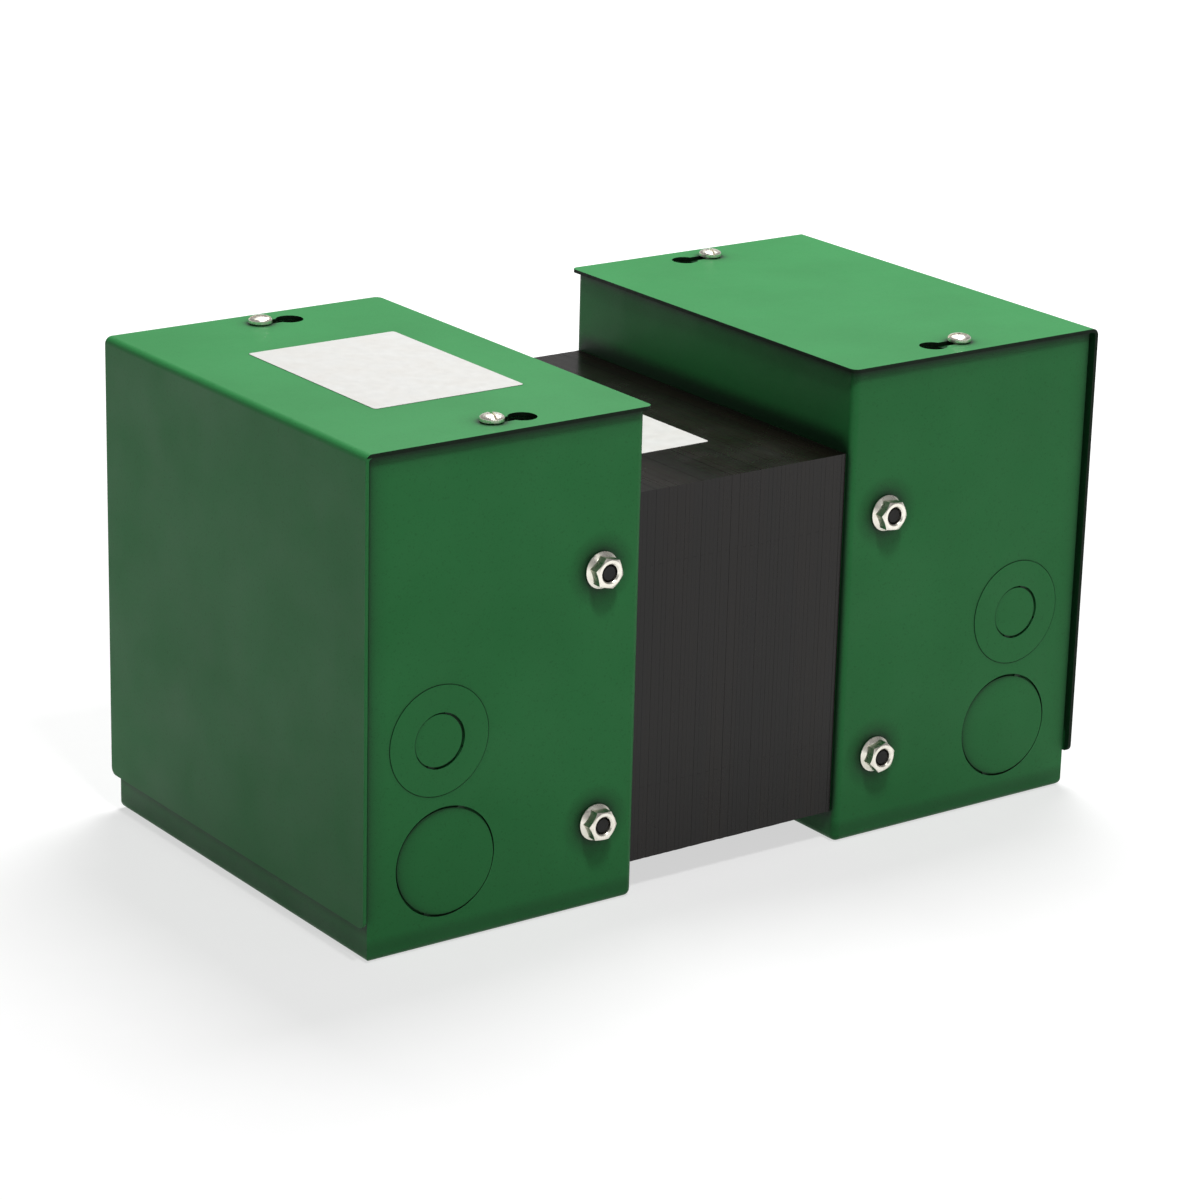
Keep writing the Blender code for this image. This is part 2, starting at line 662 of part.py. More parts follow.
def keyhole(y):
    """A keyhole through the cover's top: narrow at the screw, round nearer the core."""
    narrow = COVER_SCREW_RADIUS + SCREW_CLEARANCE
    mouth = math.degrees(math.asin(narrow / KEYHOLE_RADIUS))
    outline = arc((cover_screw_x(), y), narrow, -90, 90, ARC_STEPS)
    outline += arc((keyhole_x(), y), KEYHOLE_RADIUS, mouth, 360 - mouth, 3 * ARC_STEPS)
    return outline_bmesh(outline, BOX_HEIGHT - 2 * SHEET, BOX_HEIGHT + SHEET)


def pan_head_mesh(name, finish, head_radius, head_height, shank_radius, shank_length, slot):
    """A slotted pan-head screw with the seat of its head on Z = 0."""
    side_height = PAN_SIDE_SHARE * head_height
    rise = head_height - side_height
    profile = [(head_radius * math.sin(angle), side_height + rise * math.cos(angle))
               for angle in (math.radians(30 * step) for step in range(4))]
    profile += [(head_radius, 0), (shank_radius, 0), (shank_radius, shank_radius / 2 - shank_length),
                (shank_radius / 2, -shank_length), (0, -shank_length)]
    screw = turned_piece(name, profile, finish, HEAD_SIDES)
    bm = bmesh.new()
    add_block(bm, (-2 * head_radius, -slot / 2, head_height / 2),
              (2 * head_radius, slot / 2, 2 * head_height))
    combine(screw, bm, "DIFFERENCE")
    return baked_mesh(screw)


def make_cover_screws(side, mesh, parent):
    """The two screws that hold a cover."""
    for wall, sign in WALLS.items():
        place = (side * cover_screw_x(), sign * cover_screw_y(), BOX_HEIGHT + GAP)
        new_piece(f"{SIDE_NAMES[side]}_cover_screw_{wall}", mesh, "zinc", parent, place,
                  (0, 0, FIRST_SLOT + side * sign * NEXT_SLOT))


def make_end_frame(side, parent):
    """The end frame: a clamp plate with a flange and two weld studs along each side wall."""
    name = f"{SIDE_NAMES[side]}_end_frame"
    half = TRAY_WIDTH / 2 - SHEET - GAP
    start = SHEET + GAP
    top = STACK_BOTTOM + STACK_HEIGHT
    bm = bmesh.new()
    add_block(bm, (start, -half, STACK_BOTTOM), (start + FRAME_REACH, half, top),
              [("-x", "-y"), ("-x", "+y")], FRAME_BEND)
    frame = new_piece(name, finish_mesh(bm, name, side), "dipped_steel", parent)
    bm = bmesh.new()
    inside = half - FRAME_SHEET
    add_block(bm, (FRAME_FACE, -inside, STACK_BOTTOM - SHEET),
              (start + 2 * FRAME_REACH, inside, top + SHEET), [("-x", "-y"), ("-x", "+y")],
              FRAME_BEND - FRAME_SHEET)
    combine(frame, bm, "DIFFERENCE", side)
    bm = bmesh.new()
    coil_opening(bm, 0, 2 * FRAME_FACE)
    bolt_holes(bm, 0, 2 * FRAME_FACE)
    ground_z = STACK_MIDDLE - GROUND_SCREW_BELOW_MIDDLE
    add_rod(bm, (0, GROUND_SCREW_Y, ground_z), (2 * FRAME_FACE, GROUND_SCREW_Y, ground_z),
            GROUND_SHANK_RADIUS + GAP)
    combine(frame, bm, "DIFFERENCE", side)
    bm = bmesh.new()
    tip = TRAY_WIDTH / 2 + GAP + NUT_HEIGHT - STUD_SINK
    for wall in WALLS.values():
        for height in stud_places().values():
            add_rod(bm, (STUD_FROM_INNER_FACE, wall * (inside - GAP), height),
                    (STUD_FROM_INNER_FACE, wall * tip, height), STUD_RADIUS)
    combine(frame, bm, "UNION", side)


def flange_nut_mesh():
    """A hexagon nut with a sloping washer flange, its seat on Z = 0."""
    nut = hex_piece("flange_nut", "zinc", NUT_FLATS, NUT_HEIGHT)
    bm = bmesh.new()
    add_rod(bm, (0, 0, 0), (0, 0, NUT_FLANGE_HEIGHT / 2), NUT_FLANGE_RADIUS, HEAD_SIDES)
    combine(nut, bm, "UNION")
    bm = bmesh.new()
    add_rod(bm, (0, 0, NUT_FLANGE_HEIGHT / 4), (0, 0, NUT_FLANGE_HEIGHT), NUT_FLANGE_RADIUS,
            HEAD_SIDES, NUT_CONE_RADIUS)
    combine(nut, bm, "UNION")
    bm = bmesh.new()
    add_rod(bm, (0, 0, -NUT_HEIGHT), (0, 0, 2 * NUT_HEIGHT), STUD_RADIUS + GAP)
    combine(nut, bm, "DIFFERENCE")
    return baked_mesh(nut)


def make_box_nuts(side, mesh, parent):
    """The nuts on the studs, outside the tray's front and back walls."""
    for wall, sign in WALLS.items():
        for row, height in stud_places().items():
            place = (side * STUD_FROM_INNER_FACE, sign * (TRAY_WIDTH / 2 + GAP), height)
            new_piece(f"{SIDE_NAMES[side]}_nut_{wall}_{row}", mesh, "zinc", parent, place,
                      (-sign * math.pi / 2, 0, 0))


def make_ground_screw(side, mesh, parent):
    """The green ground screw in the end frame."""
    place = (side * (FRAME_FACE + GAP), GROUND_SCREW_Y, STACK_MIDDLE - GROUND_SCREW_BELOW_MIDDLE)
    new_piece(f"{SIDE_NAMES[side]}_ground_screw", mesh, "ground_green", parent, place,
              (0, side * math.pi / 2, 0))


# ---------------------------------------------------------------- terminals

def pole_y(pole):
    """A terminal's place along the strip."""
    return (pole - (POLES - 1) / 2) * POLE_PITCH


def lead_y(pole):
    """A lead's place: beside its terminal screw's shank."""
    return pole_y(pole) + TERMINAL_SHANK + LEAD_RADIUS + GAP


def strip_start(side):
    """The strip's edge nearer the core, from the tray's inner face."""
    if side == LEFT:
        return PRIMARY_LEAD + LEAD_RADIUS + STRIP_GAP
    return SECONDARY_LEAD - LEAD_RADIUS - STRIP_GAP - STRIP_DEPTH


def strip_floor():
    """The height of the strip's pockets above the floor."""
    return STACK_MIDDLE + BOBBIN_HALF_HEIGHT + GAP + STRIP_BASE


def make_terminal_strip(side, parent):
    """The terminal strip: a moulded base with a barrier between its poles."""
    name = f"{SIDE_NAMES[side]}_terminal_strip"
    half = (POLES * POLE_PITCH + BARRIER) / 2
    start = strip_start(side)
    base = strip_floor() - STRIP_BASE
    bm = bmesh.new()
    add_block(bm, (start, -half, base), (start + STRIP_DEPTH, half, base + STRIP_HEIGHT))
    strip = new_piece(name, finish_mesh(bm, name, side), "phenolic", parent)
    bm = bmesh.new()
    pocket = (POLE_PITCH - BARRIER) / 2
    for pole in range(POLES):
        add_block(bm, (0, pole_y(pole) - pocket, strip_floor()),
                  (start + 2 * STRIP_DEPTH, pole_y(pole) + pocket, base + 2 * STRIP_HEIGHT))
    combine(strip, bm, "DIFFERENCE", side)
    bm = bmesh.new()
    x = start + STRIP_DEPTH / 2
    seat = strip_floor() + GAP + 2 * LEAD_RADIUS + GAP
    for pole in range(POLES):
        add_rod(bm, (x, pole_y(pole), seat - TERMINAL_DEPTH - 2 * LEAD_RADIUS - 2 * GAP),
                (x, pole_y(pole), seat), TERMINAL_SHANK + GAP)
    combine(strip, bm, "DIFFERENCE", side)


def terminal_screw_mesh():
    """A slotted screw with its clamp washer, the washer's seat on Z = 0."""
    washer, head = TERMINAL_WASHER_RADIUS, TERMINAL_HEAD_RADIUS
    top = TERMINAL_WASHER_HEIGHT + TERMINAL_HEAD_HEIGHT
    length = TERMINAL_DEPTH + 2 * LEAD_RADIUS
    profile = [(0, top), (head - 2 * TERMINAL_HEAD_BEVEL, top), (head, top - TERMINAL_HEAD_BEVEL),
               (head, TERMINAL_WASHER_HEIGHT), (washer, TERMINAL_WASHER_HEIGHT), (washer, 0),
               (TERMINAL_SHANK, 0), (TERMINAL_SHANK, -length), (0, -length)]
    screw = turned_piece("terminal_screw", profile, "nickel_brass", ROD_SIDES)
    bm = bmesh.new()
    add_block(bm, (-2 * head, -TERMINAL_SLOT / 2, top - TERMINAL_HEAD_HEIGHT / 2),
              (2 * head, TERMINAL_SLOT / 2, 2 * top))
    combine(screw, bm, "DIFFERENCE")
    return baked_mesh(screw)


def make_terminal_screws(side, mesh, parent):
    """One clamp screw for each pole of a strip."""
    x = strip_start(side) + STRIP_DEPTH / 2
    seat = strip_floor() + GAP + 2 * LEAD_RADIUS + GAP
    for pole in range(POLES):
        new_piece(f"{SIDE_NAMES[side]}_terminal_screw_{pole + 1}", mesh, "nickel_brass", parent,
                  (side * x, pole_y(pole), seat), (0, 0, FIRST_SLOT + pole * NEXT_SLOT))


def lead_path(side, pole):
    """A lead's route: up through the bobbin's flange, over the strip's edge, to its screw."""
    inset = PRIMARY_LEAD if side == LEFT else SECONDARY_LEAD
    toward = 1 if side == LEFT else -1
    foot = STACK_MIDDLE + WINDING_HALF_HEIGHT + GAP
    top = strip_floor() + GAP + LEAD_RADIUS
    finish = strip_start(side) + STRIP_DEPTH / 2 + toward * LEAD_OVERSHOOT
    profile = [(inset, foot), (inset, (foot + top - LEAD_BEND) / 2)]
    bend = arc((0, 0), LEAD_BEND, 180, 90, ARC_STEPS // 2)
    profile += [(inset + toward * (LEAD_BEND + x), top - LEAD_BEND + z) for x, z in bend]
    profile += [(inset + toward * (LEAD_BEND + abs(finish - inset)) / 2, top), (finish, top)]
    return [(side * x, lead_y(pole), z) for x, z in profile]


def make_leads(side, parent):
    """The sleeved ends of a winding, one to each pole."""
    winding = "primary" if side == LEFT else "secondary"
    for pole in range(POLES):
        curve = bpy.data.curves.new(f"{winding}_lead_{pole + 1}", "CURVE")
        curve.dimensions = "3D"
        curve.bevel_depth = LEAD_RADIUS
        curve.bevel_resolution = 2
        curve.use_fill_caps = True
        spline = curve.splines.new("POLY")
        path = lead_path(side, pole)
        spline.points.add(len(path) - 1)
        for point, place in zip(spline.points, path):
            point.co = (*place, 1)
        new_piece(f"{winding}_lead_{pole + 1}", curve, "sleeving", parent)


# ---------------------------------------------------------------- assembly

def make_core():
    """Everything between and through the compartments."""
    make_stack()
    make_bobbin()
    make_coil()
    make_core_bolts()


def make_compartment(side, cover_screw, flange_nut, terminal_screw, ground_screw):
    """One compartment with its end frame, terminals, cover and fasteners."""
    name = f"{SIDE_NAMES[side]}_compartment"
    compartment = new_empty(name, (side * INNER_FACE, 0, 0))
    make_tray(side, compartment)
    make_end_frame(side, compartment)
    make_box_nuts(side, flange_nut, compartment)
    make_ground_screw(side, ground_screw, compartment)
    make_terminal_strip(side, compartment)
    make_terminal_screws(side, terminal_screw, compartment)
    make_leads(side, compartment)
    make_cover(side, compartment)
    make_cover_screws(side, cover_screw, compartment)


clear_scene()
materials = {}
parts = new_collection("dry_type_transformer")
cutters = new_collection("cutters")
core = new_empty("core", (0, 0, STACK_MIDDLE))
make_core()
COVER_SCREW = pan_head_mesh("cover_screw", "zinc", COVER_HEAD_RADIUS, COVER_HEAD_HEIGHT,
                            COVER_SCREW_RADIUS, COVER_SCREW_LENGTH, COVER_SCREW_SLOT)
GROUND_SCREW = pan_head_mesh("ground_screw", "ground_green", GROUND_HEAD_RADIUS,
                             GROUND_HEAD_HEIGHT, GROUND_SHANK_RADIUS, FRAME_SHEET,
                             GROUND_SCREW_SLOT)
FLANGE_NUT = flange_nut_mesh()
TERMINAL_SCREW = terminal_screw_mesh()
for compartment_side in (LEFT, RIGHT):
    make_compartment(compartment_side, COVER_SCREW, FLANGE_NUT, TERMINAL_SCREW, GROUND_SCREW)
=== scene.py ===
"""Dry-type transformer with two wiring compartments: its finishes, fine pieces and studio.

Laid out as an add-on and run as a script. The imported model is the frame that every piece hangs
on: its nodes give the places and sizes, and each node is modelled again here, more finely, in the
space that it holds. Lengths are in metres, +Z is up and -Y is the front.
"""

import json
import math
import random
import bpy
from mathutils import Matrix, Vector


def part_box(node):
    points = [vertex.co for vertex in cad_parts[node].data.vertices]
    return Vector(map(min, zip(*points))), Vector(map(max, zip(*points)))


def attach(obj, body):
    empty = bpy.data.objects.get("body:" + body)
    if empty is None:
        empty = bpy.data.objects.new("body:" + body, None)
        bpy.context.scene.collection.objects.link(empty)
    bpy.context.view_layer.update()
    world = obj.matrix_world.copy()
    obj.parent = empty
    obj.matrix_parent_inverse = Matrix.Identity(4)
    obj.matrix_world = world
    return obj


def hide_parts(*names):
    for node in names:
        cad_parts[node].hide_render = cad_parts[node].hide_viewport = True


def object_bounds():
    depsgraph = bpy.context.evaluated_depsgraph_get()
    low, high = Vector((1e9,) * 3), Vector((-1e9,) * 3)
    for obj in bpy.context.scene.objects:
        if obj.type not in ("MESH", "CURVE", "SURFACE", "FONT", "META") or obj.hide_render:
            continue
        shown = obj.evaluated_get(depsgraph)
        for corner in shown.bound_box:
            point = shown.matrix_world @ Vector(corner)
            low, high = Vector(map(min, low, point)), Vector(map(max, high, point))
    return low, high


bl_info = {
    "name": "Dry-Type Transformer",
    "version": (1, 0, 0),
    "blender": (4, 5, 0),
    "location": "3D View > Sidebar > Transformer",
    "description": "Finishes, fine pieces and studio for a dry-type transformer",
    "category": "Object",
}

from collections import namedtuple

import bmesh
import bpy
from bpy.props import FloatProperty, FloatVectorProperty, IntProperty, PointerProperty
from mathutils import Matrix, Vector

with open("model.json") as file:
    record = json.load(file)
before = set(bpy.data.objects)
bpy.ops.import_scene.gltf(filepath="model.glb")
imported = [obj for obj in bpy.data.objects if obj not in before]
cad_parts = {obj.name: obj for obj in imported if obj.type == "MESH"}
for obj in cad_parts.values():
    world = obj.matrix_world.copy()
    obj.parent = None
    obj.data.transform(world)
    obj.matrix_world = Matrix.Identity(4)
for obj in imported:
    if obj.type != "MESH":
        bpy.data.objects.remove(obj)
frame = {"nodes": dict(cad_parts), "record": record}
CAD_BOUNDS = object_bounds()

FIXED = "transformer"
SLOTS = {name: node.data.materials[0].name for name, node in frame["nodes"].items()}
SIDES = {"left": -1, "right": 1}
WALLS = {"front": -1, "back": 1}
ROWS = ("lower", "upper")
BOLTS = range(1, 5)
POLES = range(1, 5)
GAP = 0.0003      # what seated pieces stand clear of each other
EDGE = 0.0002     # how far a machined or moulded edge is broken
PAST = 0.001      # how far a cutting tool reaches past the piece
UP = (0, 0, 1)
EVERY_SIDE = ("-x", "+x", "-y", "+y", "-z", "+z")
SHEET_CREASE, TURNED_CREASE, ROUND_CREASE = 30, 28, 40    # degrees; sharper folds stay edges


# ---------------------------------------------------------------- settings

def length(name, default, description):
    """A length that the user can change."""
    return FloatProperty(name=name, default=default, description=description, unit="LENGTH",
                         precision=5, min=0.0)


def lengths(name, default, description):
    """A point, or the two sides of a rectangle, that the user can change."""
    return FloatVectorProperty(name=name, default=default, description=description,
                               unit="LENGTH", size=len(default))


def flats(name, default, description):
    """The number of flats that a round is made of."""
    return IntProperty(name=name, default=default, description=description, min=1, max=192)


def share(name, default, description):
    """A value between nothing and all."""
    return FloatProperty(name=name, default=default, description=description, min=0.0, max=1.0)


def turn(name, degrees, description):
    """An angle that the user can change."""
    return FloatProperty(name=name, default=math.radians(degrees), description=description,
                         subtype="ANGLE")


def tint(name, default, description):
    """A colour that the user can change."""
    return FloatVectorProperty(name=name, default=default, description=description,
                               subtype="COLOR", size=3, min=0.0, max=1.0)


class TransformerPaint(bpy.types.PropertyGroup):
    """The finishes."""

    green: tint("Green", (0.033, 0.255, 0.070), "Powder coat of the trays and covers")
    green_deep: tint("Deep Green", (0.028, 0.232, 0.061), "Powder coat where it is thicker")
    # Paler folds are partly thin paint and partly a painted highlight.
    thin_paint_and_highlight: tint("Thin Edge", (0.042, 0.265, 0.092), "Powder coat where it is thin on a fold")
    # Painted shade: this near-black colour is put on the sheet's cut edges; it is also the colour
    # of the coat's dark specks.
    sheared: tint("Sheared Edge", (0.004, 0.012, 0.005), "Cut edge of the painted sheet")
    # The next six settings are painted shade: corners, recesses and the ground under overhangs are
    # painted darker where light is blocked, less so near the floor.
    painted_shade: tint("Grime", (0.002, 0.016, 0.006), "Paint deep in corners and under overhangs")
    painted_shade_share: share("Grime's Share", 0.90, "How much of the grime shows")
    painted_shade_reach: length("Grime's Reach", 0.010, "How far from a corner the grime reaches")
    painted_shade_low: share("Low Grime", 0.25, "How much of it shows near the floor")
    faint_shade_below: length("Clean Below", 0.003, "Height under which corners hold little grime")
    full_shade_above: length("Grimy Above", 0.011, "Height over which corners hold all their grime")
    peel: length("Orange Peel", 0.0014, "Size of the powder coat's ripples")
    varnish: tint("Varnish", (0.010, 0.0065, 0.0045), "Dipping varnish on the laminations")
    varnish_dark: tint("Dark Varnish", (0.005, 0.004, 0.0035), "Varnish between the laminations")
    dipped: tint("Dipped Steel", (0.006, 0.0055, 0.005), "End frames and their studs")
    zinc: tint("Zinc", (0.94, 0.90, 0.81), "Plating of nuts, bolts and screws")
    copper: tint("Copper", (0.56, 0.20, 0.08), "Enamelled wire of the windings")
    paper: tint("Insulation Paper", (0.50, 0.38, 0.20), "Paper between the windings")
    tape: tint("Coil Tape", (0.50, 0.36, 0.10), "Outer wrap of the coil")
    nylon: tint("Nylon", (0.52, 0.48, 0.38), "Bobbin")
    phenolic: tint("Phenolic", (0.020, 0.018, 0.017), "Terminal strips")
    brass: tint("Plated Brass", (0.70, 0.62, 0.42), "Terminal screws")
    sleeving: tint("Sleeving", (0.66, 0.56, 0.34), "Sleeves of the leads")
    ground: tint("Ground Green", (0.010, 0.260, 0.060), "Ground screws")
    label: tint("Label", (0.68, 0.68, 0.66), "Stickers")


class TransformerSheet(bpy.types.PropertyGroup):
    """Sheet metal of the trays, covers and end frames."""

    thickness: length("Sheet", 0.0015, "Thickness of the trays' and covers' sheet")
    bend: length("Bend", 0.003, "Outside radius of a fold")
    bend_steps: flats("Bend Steps", 8, "Flats that a fold is made of")
    round_sides: flats("Round Sides", 72, "Sides of a hole or a knock-out")
    lip: length("Lip", 0.025, "Height of the tray's outer lip")
    side_flange: length("Side Flange", 0.020, "Width of the tray's front and back flanges")
    inner_flange: length("Inner Flange", 0.010, "Width of the tray's flange by the core")
    slot_width: length("Slot Width", 0.0075, "Width of a hold-down slot")
    slot_length: length("Slot Length", 0.014, "Length of a hold-down slot")
    slot_spacing: length("Slot Spacing", 0.120, "Distance between a tray's hold-down slots")
    slot_inset: length("Slot Inset", 0.060, "From the tray's inner face to its slots")
    keyhole: length("Keyhole", 0.0056, "Radius of a keyhole's round end")
    keyhole_travel: length("Keyhole Travel", 0.0135, "From a keyhole's round end to its screw")
    clearance: length("Clearance", 0.0004, "Play round a screw, bolt or stud")
    coil_clearance: length("Coil Clearance", 0.0018, "Play round the bobbin in a wall")
    frame: length("Frame Sheet", 0.0025, "Thickness of the end frames")
    frame_corner: length("Frame Corner", 0.005, "Radius of the end frames' free corners")


class TransformerKnockouts(bpy.types.PropertyGroup):
    """Half-sheared knock-outs, each a little off the middle of its hole."""

    large: length("Large", 0.022, "Radius of a large knock-out")
    small: length("Small", 0.0111, "Radius of a small knock-out")
    ring_shift: length("Ring Shift", 0.0003, "How far the ring round a small one stands out")
    play: length("Play", 0.00075, "How much smaller a disc is than its hole")
    drift: length("Drift", 0.00068, "How far a disc sits off the middle of its hole")
    ring_play: length("Ring Play", 0.00013, "The same for the ring round a small one")
    ring_drift: length("Ring Drift", 0.0001, "The same for the ring round a small one")
    small_turn: turn("Small Drift's Direction", 160.0, "Where a small disc sits, from +X up")
    large_turn: turn("Large Drift's Direction", -35.0, "Where a large disc sits, from +X up")
    tie: length("Tie", 0.003, "Width of the metal that holds a knock-out")
    tie_turn: turn("Ties", 70.0, "Direction of the ties, from +X up")
    rim: length("Rim", 0.0003, "Rounding of a disc's edge")
    burr: length("Burr", 0.0001, "How far a disc's torn back edge reaches past its hole")
    tilt: turn("Tilt", 2.1, "How far a disc is bent about its ties")
    raised: share("Raised", 0.48, "How much of its height a raised disc keeps midway")
    recessed: share("Recessed", 0.92, "How much of its depth a recessed disc keeps midway")


class TransformerFasteners(bpy.types.PropertyGroup):
    """Nuts, bolts, screws and studs."""

    sides: flats("Round Sides", 48, "Sides of a round fastener")
    pitch: length("Thread Pitch", 0.00127, "Pitch of the studs' and nuts' thread")
    thread: length("Thread Depth", 0.00035, "Depth of the thread")
    stud: length("Stud", 0.0032, "Radius of a weld stud")
    nut_flats: length("Nut Flats", 0.0111, "Across the flats of a flange nut")
    flange_height: length("Flange Height", 0.0014, "Height of a flange nut's flange")
    bolt: length("Core Bolt", 0.0040, "Radius of a core bolt")
    bolt_flats: length("Bolt Flats", 0.0127, "Across the flats of a core bolt's head")
    bolt_head: length("Bolt Head", 0.0055, "Height of a core bolt's head")
    bolt_thread: length("Bolt Thread", 0.022, "Length of a core bolt's thread")
    cover_screw: length("Cover Screw", 0.0024, "Radius of a cover screw")
    ground_screw: length("Ground Screw", 0.0024, "Radius of a ground screw")
    ground_head: length("Ground Head", 0.0034, "Height of a ground screw's head")
    screw_slot: length("Screw Slot", 0.0012, "Width of a screw's slot")
    terminal_screw: length("Terminal Screw", 0.0019, "Radius of a terminal screw")
    terminal_washer: length("Terminal Washer", 0.0010, "Thickness of a clamp washer")
    terminal_head: length("Terminal Head", 0.0038, "Radius of a terminal screw's head")
    terminal_rise: length("Terminal Rise", 0.0024, "Height of a terminal screw's head")
    terminal_slot: length("Terminal Slot", 0.0010, "Width of a terminal screw's slot")
    first_slot: turn("First Slot", 25.0, "Direction of the first screw's slot")
    next_slot: turn("Next Slot", 50.0, "Turn from one screw's slot to the next")


class TransformerCore(bpy.types.PropertyGroup):
    """Lamination stack, coil, terminals and leads."""

    tongue: length("Tongue", 0.060, "Width of the laminations' middle leg")
    packet: length("Packet", 0.0020, "Thickness of laminations that lie flush")
    unevenness: length("Unevenness", 0.00008, "How far a packet stands back from the others")
    joint: length("Joint", 0.00005, "Gap between packets, and between an E and its I")
    leg_clearance: length("Leg Clearance", 0.0004, "Play between the middle leg and the bobbin")
    bobbin_wall: length("Bobbin Wall", 0.0015, "Thickness of the bobbin's tube")
    bobbin_flange: length("Bobbin Flange", 0.0020, "Thickness of the bobbin's flanges")
    corner: length("Corner", 0.003, "Radius of the bobbin's corners")
    corner_growth: share("Corner Growth", 0.6, "How much rounder a layer gets as it builds up")
    primary_wire: length("Primary Wire", 0.0014, "Wire of the primary winding")
    secondary_wire: length("Secondary Wire", 0.0024, "Wire of the secondary winding")
    paper_width: length("Paper Step", 0.021, "Height of each strip of insulation paper")
    paper_lap: length("Paper Lap", 0.0001, "How far a strip of paper stands over the last")
    tape_width: length("Tape Step", 0.0095, "Height of each turn of the coil's tape")
    tape_lap: length("Tape Lap", 0.00022, "How far a turn of tape stands over the last")
    lead: length("Lead", 0.00125, "Radius of a sleeved lead")
    wire: length("Wire", 0.0011, "Radius of a lead's bare end")
    bare: length("Bare End", 0.0107, "Length of a lead's bare end")
    lead_bend: length("Lead Bend", 0.0026, "Radius of a lead's bend")
    lead_hole: length("Lead Hole", 0.0004, "Play round a lead in the bobbin's flange")
    barrier: length("Barrier", 0.003, "Thickness of a terminal strip's barriers")
    strip_base: length("Strip Base", 0.007, "Thickness of a terminal strip under its pockets")
    strip_round: length("Strip Rounding", 0.0022, "Radius of the barriers' upper corners")
    pocket_round: length("Pocket Rounding", 0.0008, "Radius of the pockets' lower corners")


class TransformerLabels(bpy.types.PropertyGroup):
    """Bare stickers on the left cover and on the core."""

    cover_size: lengths("Cover Sticker", (0.067, 0.091), "Sides along X and Y")
    cover_place: lengths("Cover Sticker's Middle", (-0.107, -0.001), "Place on the left cover")
    core_size: lengths("Core Sticker", (0.054, 0.094), "Sides along X and Y")
    core_place: lengths("Core Sticker's Middle", (-0.013, -0.002), "Place on the core's top")
    thickness: length("Thickness", 0.00012, "Thickness of a sticker")
    corner: length("Corner", 0.0015, "Radius of a sticker's corners")


class TransformerStage(bpy.types.PropertyGroup):
    """Floor, light and camera."""

    target: lengths("Target", (-0.0012, 0.0003, 0.0857), "Point that the camera looks at")
    azimuth: turn("Azimuth", -36.143, "Turn of the camera about the transformer")
    elevation: turn("Elevation", 18.613, "Rise of the camera above the floor's plane")
    roll: turn("Roll", 1.484, "Tilt of the camera about its own axis")
    distance: length("Distance", 1.6017, "From the target to the camera")
    lens: FloatProperty(name="Lens", default=118.1, description="Focal length in millimetres")
    fill_bright: share("Bright Fill", 0.14, "Strength of the soft light on its bright side")
    fill_dim: share("Dim Fill", 0.0, "Strength of the soft light on its dim side")
    fill_from: FloatVectorProperty(name="Fill From", size=3, default=(0.40, -0.90, -0.15),
                                   description="Direction of the soft light's bright side")
    overhead: share("Overhead", 0.24, "Brightness of the studio above, in reflections")
    key_place: lengths("Key", (0.45, 0.45, 1.50), "Place of the main light")
    key_size: length("Key Size", 0.7, "Side of the main light")
    key: FloatProperty(name="Key Power", default=24.5, description="Main light in watts")
    front_place: lengths("Front Light", (-0.25, -0.85, 1.75), "Place of the front light")
    front_size: length("Front Light Size", 0.25, "Side of the front light")
    front: FloatProperty(name="Front Power", default=12.5, description="Front light in watts")
    floor_reach: length("Floor's Reach", 8.0, "From the middle of the floor to its sides")
    floor_colour: tint("Floor", (0.42, 0.42, 0.42), "Plain pale floor")
    floor_near: share("Floor Lift", 0.62, "Light added near the object, as the camera sees it")
    floor_start: length("Floor Lift Start", 0.45, "Distance where the lift starts to grow")
    floor_stop: length("Floor Lift Stop", 1.00, "Distance where the floor is as bright as white")


SETTINGS = {
    "transformer_paint": TransformerPaint,
    "transformer_sheet": TransformerSheet,
    "transformer_knockouts": TransformerKnockouts,
    "transformer_fasteners": TransformerFasteners,
    "transformer_core": TransformerCore,
    "transformer_labels": TransformerLabels,
    "transformer_stage": TransformerStage,
}


# ---------------------------------------------------------------- finishes

# Where a finish is cloudy, stained, scuffed, rubbed or paler than its own colour.
ZINC_CLOUD, ZINC_EDGE = (0.88, 0.84, 0.74), (0.70, 0.67, 0.60)
BRASS_CLOUD, BRASS_EDGE = (0.60, 0.54, 0.40), (0.50, 0.44, 0.30)
GROUND_CLOUD, GROUND_EDGE = (0.015, 0.20, 0.05), (0.30, 0.34, 0.24)
COPPER_SCUFF = (0.36, 0.10, 0.035)
DIPPED_EDGE = (0.05, 0.047, 0.044)
PAPER_STAIN = (0.38, 0.28, 0.14)
TAPE_STAIN = (0.36, 0.24, 0.06)
SLEEVING_STAIN = (0.50, 0.40, 0.22)
PHENOLIC_PALE = (0.06, 0.055, 0.05)
NYLON_PALE = (0.62, 0.58, 0.48)
LABEL_WARMTH = (0.98, 0.965, 0.95)
WHITE = (1.0, 1.0, 1.0, 1.0)


